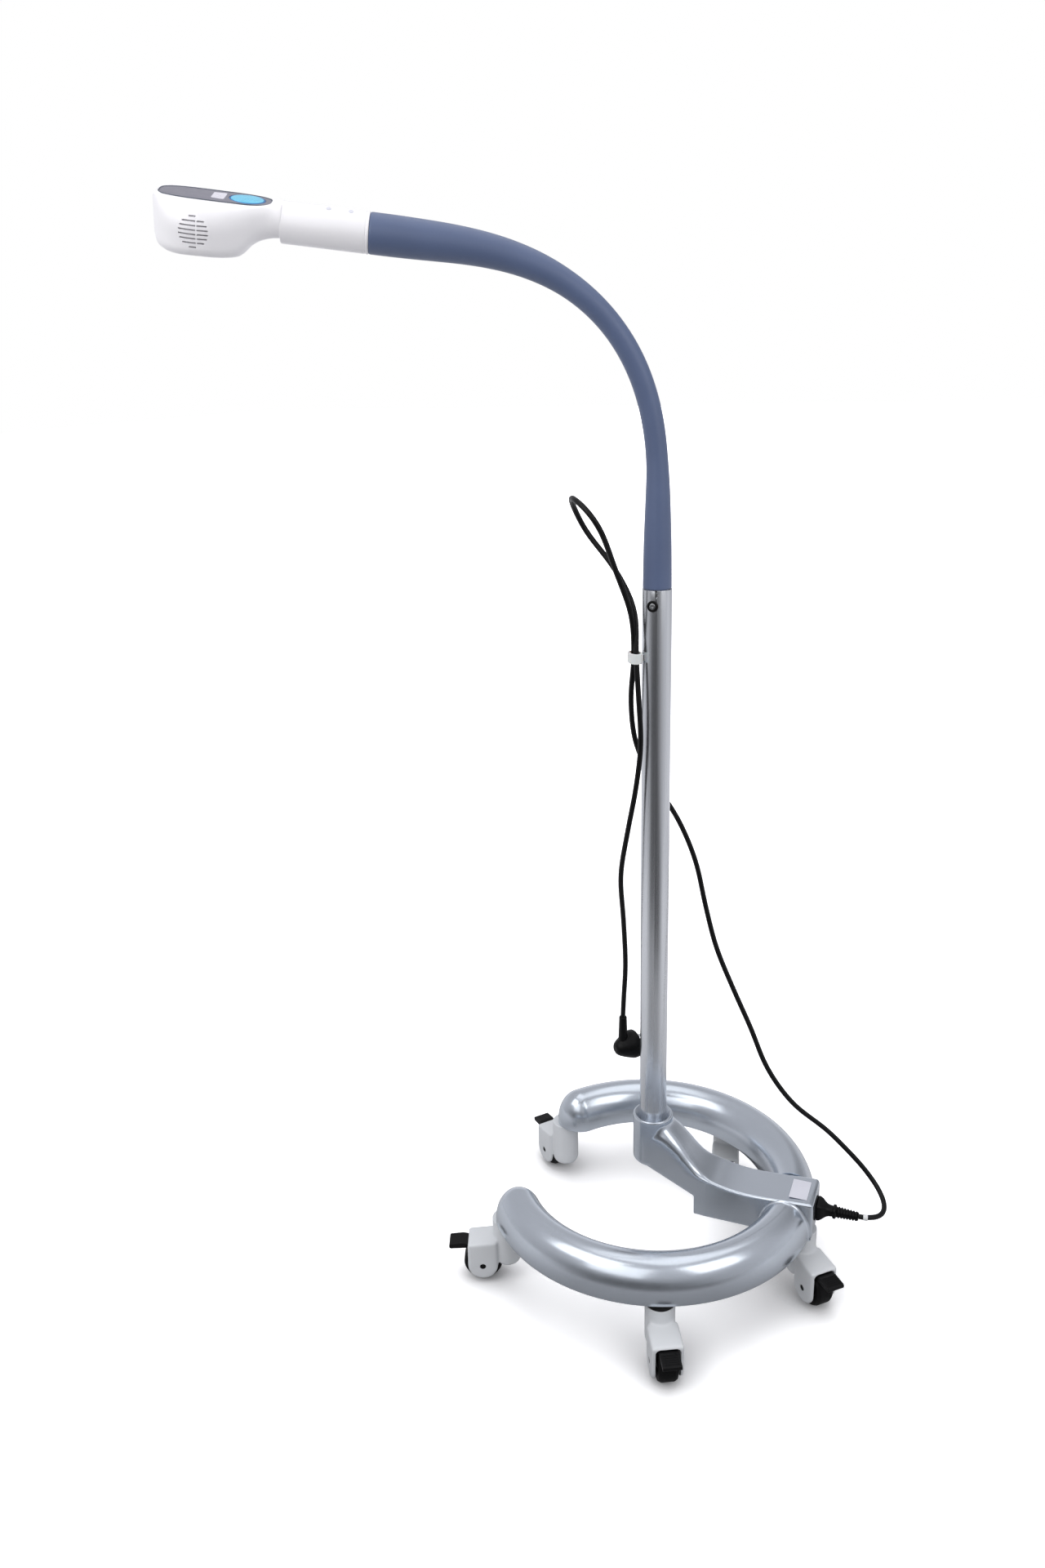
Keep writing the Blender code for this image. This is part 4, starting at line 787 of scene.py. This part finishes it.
def head_section(x, n=16):
    """Flat top, long soft shoulders, straight sides and rounded lower edges."""
    hb = ease(x, [0.0, 0.006, 0.0125, 0.020, 0.030, 0.040, 0.050, 0.060, 0.075, HB_X],
              [0.0204, 0.0206, 0.0217, 0.0250, 0.0302, 0.0347, 0.0388, 0.0420, 0.0450, HB_R]) if x < HB_X else sqrt(max(HB_R**2 - (x - HB_X)**2, 1e-6))
    nt_ = ease(x, [0.0, 0.008, 0.02, 0.05, 0.10, 0.118, 0.1265, 0.1303], [0.0203, 0.0188, 0.0176, 0.0173, 0.0173, 0.0173, 0.0168, 0.0125])
    nb = ease(x, [0.0, 0.004, 0.010, 0.016, 0.022, 0.028, 0.034, 0.040, 0.046, 0.052, 0.080, 0.120, 0.1265, 0.1303],
              [-0.0150, -0.0150, -0.0157, -0.0170, -0.0191, -0.0227, -0.0287, -0.0326, -0.0336, -0.0338, -0.0334, -0.0334, -0.0320, -0.0285])
    zs = ease(x, [0.0, 0.0125, 0.030, 0.050, 0.14], [0.0025, 0.0, -0.004, -0.008, -0.008])
    fl = min(ease(x, [0.0, 0.0125, 0.020, 0.030, 0.045, 0.14], [0.0060, 0.0125, 0.0172, 0.0205, 0.0218, 0.0218]), hb * 0.75)
    rb = min(ease(x, [0.0, 0.0125, 0.030, 0.050, 0.14], [0.0172, 0.0155, 0.0150, 0.0120, 0.0120]), hb * 0.98, zs - nb - 1e-4)
    ca, cb = hb - fl, nt_ - zs
    pts = []
    for cy, cz, ra, rz, a0 in ((fl, zs, ca, cb, 0), (-fl, zs, ca, cb, 90), (-hb + rb, nb + rb, rb, rb, 180), (hb - rb, nb + rb, rb, rb, 270)):
        pts += [(x, cy + ra * cos(radians(a0 + t)), cz + rz * sin(radians(a0 + t))) for t in np.linspace(0, 90, n)]
    return pts


hx = list(np.linspace(-0.0018, HB_X, 58)) + [HB_X + HB_R * sin(t) for t in np.linspace(0, radians(88.3), 40)[1:]]
shell = loft("head_body", [head_section(min(x, 0.1303)) for x in hx])
melt(shell, 0.0009, 5)
boolean(shell, "DIFFERENCE", prism("t", oval(PAN_X, PAN_A + FIT, PAN_B + FIT, PAN_P, 160), P_TOP - 0.0028, 0.03),
        prism("t", oval(BTN_X, BTN_A + FIT, BTN_B + FIT, 2.0, 120), P_TOP - 0.0062, 0.03),
        rod("t", 0.0398, (HB_X, 0, -0.06), (HB_X, 0, -0.0065), 120), rod("t", 0.0300, (HB_X, 0, -0.02), (HB_X, 0, 0.0110), 90),
        rod("t", 0.008, (-0.004, 0, -0.003), (0.060, 0, -0.003), 32))
# round vent fields on both flanks: rows of slots with a rib down the middle
VENT_X, VENT_Z, VENT_R = 0.0823, -0.0082, 0.0150
for sgn in (1, -1):
    tools = bmesh.new()
    for i in range(8):
        z = VENT_Z + (3.5 - i) * 0.0041
        half = sqrt(max(VENT_R**2 - (z - VENT_Z)**2, 0))
        for a, b in ((-half, -0.0038), (-0.0026, half)):
            if b - a < 0.001:
                continue
            bmesh.ops.create_cube(tools, size=1.0, matrix=Matrix.Translation((VENT_X + (a + b) / 2, sgn * 0.0430, z)) @ Matrix.Diagonal((b - a, 0.012, 0.0015, 1)))
    vent = new_obj("t", tools, None)
    boolean(shell, "DIFFERENCE", vent)
finish_shade(shell, True, 38.0)
paint(shell, "white")
put(shell, HEAD_M)
done(shell, "head", "head_shell")


def cushion(name, outline_fn, z_side, z_top, edge, dome, mat, levels=7):
    """Plate with a rounded rim and a slightly crowned top, from z_side up to z_top."""
    rings = [[(x, y, z_side) for x, y in outline_fn(0.0)]]
    for t in np.linspace(0, pi / 2, levels):
        rings.append([(x, y, z_top - edge + edge * sin(t)) for x, y in outline_fn(edge * (1 - cos(t)))])
    base = outline_fn(edge)
    cx = sum(p[0] for p in base) / len(base)
    cy = sum(p[1] for p in base) / len(base)
    for f in np.linspace(0.9, 0.05, 10):
        rings.append([(cx + (x - cx) * f, cy + (y - cy) * f, z_top + dome * (1 - f * f)) for x, y in base])
    return loft(name, rings, mat, sharp=42.0)


panel = cushion("top_panel_plate", lambda e: oval(PAN_X, PAN_A - e, PAN_B - e, PAN_P, 160), P_TOP - 0.0025, P_TOP + 0.0003, 0.0010, 0.0006, "grey")
boolean(panel, "DIFFERENCE", prism("t", oval(BTN_X, BTN_A + FIT, BTN_B + FIT, 2.0, 120), P_TOP - 0.01, 0.03))
finish_shade(panel, True, 42.0)
put(panel, HEAD_M)
done(panel, "head", "top_panel")
prof = [(-0.0004, 0.0), (-0.0001, 0.0006), (0.0009, 0.0006), (0.0012, 0.0)]
rings = []
for x, y in oval(PAN_X, PAN_A, PAN_B, PAN_P, 160):
    d = Vector((x - PAN_X, (y) * (PAN_A / PAN_B)**2, 0))
    d = d.normalized() if d.length else Vector((1, 0, 0))
    rings.append([(x - d.x * u, y - d.y * u, P_TOP + 0.0001 + h) for u, h in prof])
trim = loft("panel_trim_ring", rings, "trim", close=True, sharp=None)
put(trim, HEAD_M)
done(trim, "head")
inl = prism("panel_inlay_plate", rounded_profile([(0.0568, -0.0118), (0.0702, -0.0104), (0.0702, 0.0104), (0.0568, 0.0118)], 0.0020, 5, True), P_TOP + 0.0002, P_TOP + 0.0009, "inlay")
put(inl, HEAD_M)
done(inl, "head")
btn = cushion("push_button_cap", lambda e: oval(BTN_X, BTN_A - 0.0016 - e, BTN_B - 0.0016 - e, 2.0, 120), P_TOP - 0.0040, P_TOP + 0.0012, 0.0010, 0.0005, "blue")
put(btn, HEAD_M)
done(btn, "button", "sensor_button")
rings = []
for x, y in oval(BTN_X, BTN_A, BTN_B, 2.0, 120):
    d = Vector((x - BTN_X, y, 0)).normalized()
    rings.append([(x - d.x * u, y - d.y * u, P_TOP + h) for u, h in ((0.0, -0.0035), (0.0, 0.0003), (0.0005, 0.0008), (0.0012, 0.0008), (0.00155, 0.0004), (0.00155, -0.0035))])
rim = loft("push_button_rim", rings, "bluerim", close=True, sharp=40.0)
put(rim, HEAD_M)
done(rim, "button")

LAMP_M = HEAD_M @ Matrix.Translation((HB_X, 0, 0))
fins = [(0.0, 0.0005)]
for r in (0.0100, 0.0180, 0.0262):
    fins += [(r, 0.0005), (r, 0.0085), (r + 0.0025, 0.0085)] + ([(r + 0.0025, 0.0005)] if r < 0.026 else [])
fins += [(0.0287, -0.0040), (0.0, -0.0040)]
done(put(lathe("heat_sink_rings", rounded_profile(fins, 0.0004, 2), 72, "alu"), LAMP_M), "head", "heat_sink")
done(put(lathe("led_board_disc", [(0.0, -0.0043), (0.0285, -0.0043), (0.0285, -0.0060), (0.0085, -0.0060), (0.0083, -0.0070), (0.0076, -0.0079), (0.0062, -0.0086), (0.0045, -0.0090), (0.0022, -0.0093), (0.0, -0.0094)], 64, "board"), LAMP_M),
     "head", "led_board")
outer = [(ease(t, [0, 0.40, 0.78, 1], [0.0120, 0.0245, 0.0345, 0.0382]), ease(t, [0, 0.40, 0.78, 1], [-0.0074, -0.0122, -0.0200, -0.0258])) for t in np.linspace(0, 1, 18)]
inner = [(r - 0.0011, z - 0.0006 if i < 17 else z) for i, (r, z) in enumerate(outer)]
done(put(lathe("reflector_bowl", outer + inner[::-1], 96, "alu", closed=True), LAMP_M), "head", "reflector")
done(put(lathe("lens_disc", rounded_profile([(0.0, -0.0266), (0.0385, -0.0266), (0.0385, -0.0294), (0.0335, -0.0298), (0.020, -0.0304), (0.0, -0.0306)], 0.0005, 3), 96, "lens"), LAMP_M), "head", "lens")
done(put(lathe("lens_bezel_ring", rounded_profile([(0.0350, -0.0302), (0.0394, -0.0297), (0.0394, -0.0328), (0.0350, -0.0328)], 0.0009, 4, True), 96, "grey", closed=True), LAMP_M), "head", "lens_bezel")


# ------------------------------------------------------------------ casters
def xz_prism(name, pts, hw, **kw):
    o = prism(name, pts, -hw, hw, **kw)
    o.data.transform(Matrix.Rotation(pi / 2, 4, "X"))
    return o


def hood_mesh(top):
    pts = [(TRAIL - CHEEK_R, WHEEL_R), (TRAIL - CHEEK_R, HOOD_TOP + 0.0025), (TRAIL + CHEEK_R - 0.0005, HOOD_TOP - 0.0010)]
    pts += [(TRAIL + CHEEK_R * cos(radians(a)), WHEEL_R + CHEEK_R * sin(radians(a))) for a in np.linspace(0, -180, 49)[:-1]]
    h = xz_prism("hood_model", pts, HOOD_HW)
    nk = lathe("t", rounded_profile([(0.0, top + 0.007), (NECK_CR, top + 0.007), (NECK_CR, 0.0220), (0.0, 0.0220)], [0, 0.0015, 0.012, 0], 8), 72)
    boolean(h, "UNION", nk)
    melt(h, 0.0007, 150)
    arch = [(TRAIL + 0.0285 * cos(t), WHEEL_R + 0.0285 * sin(t)) for t in np.linspace(0, 2 * pi, 72, endpoint=False)]
    c1 = xz_prism("t", arch, 0.0155)
    rr = [(-0.0155, -0.03), (0.0155, -0.03), (0.0155, 0.0573), (-0.0155, 0.0573)]
    prof = rounded_profile(rr, [0, 0, 0.0062, 0.0062], 8, True)
    c2 = prism("t", prof, 0.0345, 0.0800)
    c2.data.transform(Matrix(((0, 0, 1, 0), (1, 0, 0, 0), (0, 1, 0, 0), (0, 0, 0, 1))))
    c3 = block("t", (TRAIL - 0.0285 * cos(radians(25)), -0.0155, -0.02), (0.08, 0.0155, 0.016))
    c5 = block("t", (-0.03, -0.03, top), (0.03, 0.03, 0.1200))
    boolean(h, "DIFFERENCE", c1, c2, c3, c5, rod("t", 0.0056, (0, 0, 0.0615 - FLOOR_Z), (0, 0, 0.12), 32), rod("t", 0.0060, (0, 0, NECK_TOP), (0, 0, 0.12), 48), rod("t", 0.0041, (TRAIL, -0.03, WHEEL_R), (TRAIL, 0.03, WHEEL_R), 32))
    melt(h, 0.0006, 3)                                  # soft lips on the openings
    return paint(h, "hood")


def wheel_mesh():
    w, h = WHEEL_R, WHEEL_W / 2
    half = [(0.0045, h - 0.001), (0.0090, h - 0.001), (0.0100, h - 0.0035), (0.0165, h - 0.0035), (0.0178, h), (w - 0.0022, h), (w, h - 0.0040)]
    prof = half + [(r, -z) for r, z in reversed(half)]
    o = lathe("wheel_model", rounded_profile(prof, 0.0012, 4, True), 96, "rubber", closed=True)
    o.data.transform(Matrix.Rotation(pi / 2, 4, "X"))
    return o


def pedal_mesh():
    pts = [(-0.0030, 0.0010), (0.0050, 0.0016), (0.0120, 0.0030), (0.0285, 0.0014), (0.0300, 0.0002), (0.0300, -0.0036), (0.0280, -0.0050), (0.0100, -0.0044), (0.0020, -0.0040),
           (-0.0010, -0.0034), (-0.0030, -0.0015)]
    o = xz_prism("pedal_model", rounded_profile(pts, 0.0008, 4, True), 0.0118)
    boolean(o, "UNION", rod("t", 0.0020, (0, -0.0124, -0.0004), (0, 0.0124, -0.0004), 24))
    melt(o, 0.00045, 4)
    grip = bmesh.new()
    for k in range(5):                                  # anti-slip grooves across the tread
        bmesh.ops.create_cube(grip, size=1.0, matrix=Matrix.Translation((0.0138 + 0.0031 * k, 0, 0.0031 - 0.0003 * k)) @ Matrix.Diagonal((0.0008, 0.0180, 0.0010, 1)))
    boolean(o, "DIFFERENCE", new_obj("t", grip, None))
    finish_shade(o, True, 40.0)
    return paint(o, "black")


hood_o, wheel_o, pedal_o = hood_mesh(NECK_TOP), wheel_mesh(), pedal_mesh()
hood_t = hood_mesh(RING_Z0 - FLOOR_Z - 0.0006)           # collar drawn up in place of the washer
axle_o = lathe("axle_model", rounded_profile([(0.0, 0.0191), (0.0016, 0.0191), (0.0022, 0.0195), (0.0038, 0.0193), (0.0038, -0.0193), (0.0022, -0.0195), (0.0016, -0.0191), (0.0, -0.0191)], 0.0003, 3), 32, "black")
axle_o.data.transform(Matrix.Rotation(pi / 2, 4, "X"))
stems = []
for wr in (WASHER_R, 0.0053):
    stems.append(lathe("stem_model", rounded_profile([(0.0, 0.1200), (0.0050, 0.1200), (0.0050, RING_Z0 - FIT), (wr, RING_Z0 - FIT), (wr, 0.0956), (0.0050, 0.0956), (0.0050, 0.0625), (0.0, 0.0625)],
                                                     [0, 0.0006, 0, 0.0006, 0.0012, 0, 0.0006, 0], 3), 64, "black"))


def copy_of(src, name, matrix):
    o = bpy.data.objects.new(name, src.data.copy())
    bpy.context.scene.collection.objects.link(o)
    o.data.transform(ROOT @ matrix)
    return o


for k, ((x, y), tr) in enumerate(zip(STEM_XY, CASTER_TRAIL)):
    n = k + 1
    st = Matrix.Translation((x, y, 0))
    base = Matrix.Translation((x, y, FLOOR_Z)) @ Matrix.Rotation(radians(tr), 4, "Z")
    done(copy_of(hood_o if n == 2 else hood_t, "caster_%d_hood_shell" % n, base), "caster_%d_fork" % n, "caster_%d_hood" % n)
    done(copy_of(axle_o, "caster_%d_axle_pin" % n, base @ Matrix.Translation((TRAIL, 0, WHEEL_R))), "caster_%d_fork" % n, "caster_%d_axle" % n)
    done(copy_of(wheel_o, "caster_%d_tyre" % n, base @ Matrix.Translation((TRAIL, 0, WHEEL_R))), "caster_%d_roller" % n, "caster_%d_wheel" % n)
    done(copy_of(pedal_o, "caster_%d_brake_pedal" % n, base @ Matrix.Translation((PED_X, 0, PED_Z))), "caster_%d_brake" % n, "caster_%d_pedal" % n)
    done(copy_of(stems[0 if n == 2 else 1], "caster_%d_stem_pin" % n, st), "base", "caster_%d_stem" % n)
drop(hood_o, hood_t, wheel_o, pedal_o, axle_o, *stems)

# CAD pieces that stay as they are, with finished surfaces
KEEP = {"ballast_bar_front": "iron", "ballast_bar_back": "iron", "housing_cover": "iron", "power_supply": "black", "gooseneck_ferrule": "steel",
        "gooseneck_core_1": "steel", "gooseneck_core_2": "steel", "gooseneck_core_3": "steel", "gooseneck_core_4": "steel", "neck_insert": "alu"}
for nm, mt in KEEP.items():
    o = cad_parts[nm]
    o.data.materials.clear()
    o.data.materials.append(M[mt])

# ------------------------------------------------------------------ floor and light
def sheet(name, x0, x1, y0, y1, z):
    bm = bmesh.new()
    bm.faces.new([bm.verts.new(p) for p in ((x0, y0, z), (x1, y0, z), (x1, y1, z), (x0, y1, z))])
    o = new_obj(name, bm, None, smooth=False)
    return o


floor = sheet("floor_paper", -20, 20, -20, 30, -0.0003)     # white sweep that takes the shadows
fm = bpy.data.materials.new("floor_white_painted_contact_shade")
fm.use_nodes = True
nt = fm.node_tree
nt.nodes.remove(nt.nodes["Principled BSDF"])
df = node(nt, "ShaderNodeBsdfDiffuse")
em = node(nt, "ShaderNodeEmission")
ad = node(nt, "ShaderNodeAddShader")
# painted contact shadow: ambient occlusion darkens the floor colour near the base and casters, on top of the real
# shadows
ao = node(nt, "ShaderNodeAmbientOcclusion")
ao.inputs["Distance"].default_value = 0.13
ao.samples = 12
close = ramp(nt, ao.outputs["AO"], [(0.0, (0.30, 0.30, 0.31, 1)), (0.45, (0.45, 0.45, 0.455, 1)), (0.75, (0.80, 0.80, 0.80, 1)), (0.95, (1, 1, 1, 1))])
gain = node(nt, "ShaderNodeVectorMath", operation="SCALE")
gain.inputs["Scale"].default_value = FLOOR_GAIN
nt.links.new(close, gain.inputs[0])
nt.links.new(gain.outputs["Vector"], df.inputs["Color"])
fp = node(nt, "ShaderNodeVectorMath", operation="LENGTH")
nt.links.new(coords(nt), fp.inputs[0])
nt.links.new(spread(nt, fp.outputs["Value"], FLOOR_LIFT, 1.0, 0.9, 2.2), em.inputs["Strength"])
nt.links.new(df.outputs[0], ad.inputs[0])
nt.links.new(em.outputs[0], ad.inputs[1])
nt.links.new(ad.outputs[0], nt.nodes["Material Output"].inputs["Surface"])
floor.data.materials.append(fm)
floor.visible_diffuse = floor.visible_glossy = floor.visible_transmission = floor.visible_shadow = False

# painted shade on the bounce ground: its colour falls off with distance from the base, darkest far out in front, with a
# painted shadow dip around the ring
ground = sheet("floor_bounce", -1.3, 1.8, -3.6, 1.6, -0.0020)   # pale ground that lights the underside, darker far out in front
gm, nt, b = shader("floor_grey_painted_shade", Roughness=0.9, Specular_IOR_Level=0.1)
gv = coords(nt)
mid = node(nt, "ShaderNodeVectorMath", operation="SUBTRACT")
mid.inputs[1].default_value = (-OX, -OY, 0.0)
nt.links.new(gv, mid.inputs[0])
far = node(nt, "ShaderNodeVectorMath", operation="LENGTH")
nt.links.new(mid.outputs["Vector"], far.inputs[0])
way = node(nt, "ShaderNodeVectorMath", operation="NORMALIZE")
nt.links.new(mid.outputs["Vector"], way.inputs[0])
ahead = node(nt, "ShaderNodeVectorMath", operation="DOT_PRODUCT")
ahead.inputs[1].default_value = (0.259, -0.966, 0.0)
nt.links.new(way.outputs["Vector"], ahead.inputs[0])
dist = spread(nt, far.outputs["Value"], 0.0, 1.0, 0.0, 3.5)


def pale(v):
    return (v, v, v * 1.01, 1)


# painted shade: the dip near 0.27 m stands for the base's shadow, and the fall towards dark far out stands for light
# falling off
front_painted_shade = ramp(nt, dist, [(r / 3.5, pale(v)) for r, v in ((0.0, 0.80), (0.15, 0.72), (0.27, 0.33), (0.45, 0.36), (0.66, 0.44), (0.86, 0.12), (1.10, 0.08), (1.50, 0.10), (2.40, 0.09), (3.5, 0.06))])
side_painted_shade = ramp(nt, dist, [(r / 3.5, pale(v)) for r, v in ((0.0, 0.80), (0.15, 0.72), (0.27, 0.48), (0.45, 0.72), (0.90, 0.85), (3.5, 0.85))])
fmix = node(nt, "ShaderNodeMix", data_type="RGBA")
nt.links.new(spread(nt, ahead.outputs["Value"], 0.0, 1.0, 0.35, 0.85), fmix.inputs[0])
nt.links.new(side_painted_shade, fmix.inputs[6])
nt.links.new(front_painted_shade, fmix.inputs[7])
fall = fmix.outputs[2]
mott = node(nt, "ShaderNodeMix", data_type="RGBA", blend_type="MULTIPLY")
mott.inputs[0].default_value = 1.0
nt.links.new(fall, mott.inputs[6])
nt.links.new(ramp(nt, noise(nt, gv, 3.0), [(0.3, (0.95, 0.95, 0.95, 1)), (0.7, (1, 1, 1, 1))]), mott.inputs[7])
nt.links.new(mott.outputs[2], b.inputs["Base Color"])
ground.data.materials.append(gm)
ground.visible_camera = False

w = bpy.data.worlds.new("studio")
bpy.context.scene.world = w
w.use_nodes = True
nt = w.node_tree
bg = nt.nodes["Background"]
tc = node(nt, "ShaderNodeTexCoord")
sx = node(nt, "ShaderNodeSeparateXYZ")
nt.links.new(tc.outputs["Generated"], sx.inputs[0])
dt = node(nt, "ShaderNodeVectorMath", operation="DOT_PRODUCT")
dt.inputs[1].default_value = (0.070, -0.9975, 0.0)
nt.links.new(tc.outputs["Generated"], dt.inputs[0])


def grey(v):
    return (v, v, v * 1.02, 1)


side = ramp(nt, spread(nt, dt.outputs["Value"], 0.0, 1.0, -1.0, 1.0),
            [(0.02, grey(0.95)), (0.20, grey(0.80)), (0.40, grey(0.72)), (0.60, grey(0.58)), (0.77, grey(0.48)), (0.88, grey(0.28)), (0.97, grey(0.11)), (1.0, grey(0.06))])
up = ramp(nt, sx.outputs["Z"], [(0.0, grey(0.0)), (0.12, grey(0.04)), (0.26, grey(0.55)), (0.42, grey(0.90)), (0.60, grey(1.0))])
lift = node(nt, "ShaderNodeMix", data_type="RGBA")
nt.links.new(up, lift.inputs[0])
nt.links.new(side, lift.inputs[6])
lift.inputs[7].default_value = grey(SKY)
dk = node(nt, "ShaderNodeVectorMath", operation="DOT_PRODUCT")
dk.inputs[1].default_value = (0.490, 0.815, 0.309)
nt.links.new(tc.outputs["Generated"], dk.inputs[0])
patch = ramp(nt, dk.outputs["Value"], [(0.80, grey(1.0)), (0.90, grey(0.72)), (0.97, grey(0.50))])
flag = node(nt, "ShaderNodeMix", data_type="RGBA", blend_type="MULTIPLY")
flag.inputs[0].default_value = 1.0
nt.links.new(lift.outputs[2], flag.inputs[6])
nt.links.new(patch, flag.inputs[7])
lp = node(nt, "ShaderNodeLightPath")
mx = node(nt, "ShaderNodeMix", data_type="RGBA")
nt.links.new(lp.outputs["Is Camera Ray"], mx.inputs[0])
nt.links.new(flag.outputs[2], mx.inputs[6])
mx.inputs[7].default_value = (1, 1, 1, 1)
nt.links.new(mx.outputs[2], bg.inputs["Color"])
bg.inputs["Strength"].default_value = 1.0


def area(name, loc, target, size, radiance, col=(1, 1, 1)):
    l = bpy.data.lights.new(name, "AREA")
    l.shape = "RECTANGLE"
    l.size, l.size_y = size
    l.energy = radiance * pi * size[0] * size[1]
    l.color = col
    o = bpy.data.objects.new(name, l)
    bpy.context.scene.collection.objects.link(o)
    o.matrix_world = ROOT @ Matrix.Translation(loc) @ (Vector(target) - Vector(loc)).to_track_quat("-Z", "Y").to_matrix().to_4x4()
    o.visible_camera = False
    return o


area("left_box", (-0.95, -1.25, 2.0), (-0.3, -0.1, 0.9), (1.4, 1.4), 1.9)
area("right_box", (1.57, -0.84, 1.70), (0, 0, 0.2), (1.2, 1.2), 2.0)
area("top_box", (0.1, 0.3, 2.8), (0.0, 0, 0), (2.0, 2.0), 0.9)
area("front_box", (-0.22, -2.0, 1.60), (0, -0.2, 0.3), (1.5, 1.5), 1.1)

sc = bpy.context.scene
sc.view_settings.view_transform = "Standard"
sc.view_settings.look = "None"
sc.view_settings.exposure = 0.0
sc.view_settings.gamma = 1.0
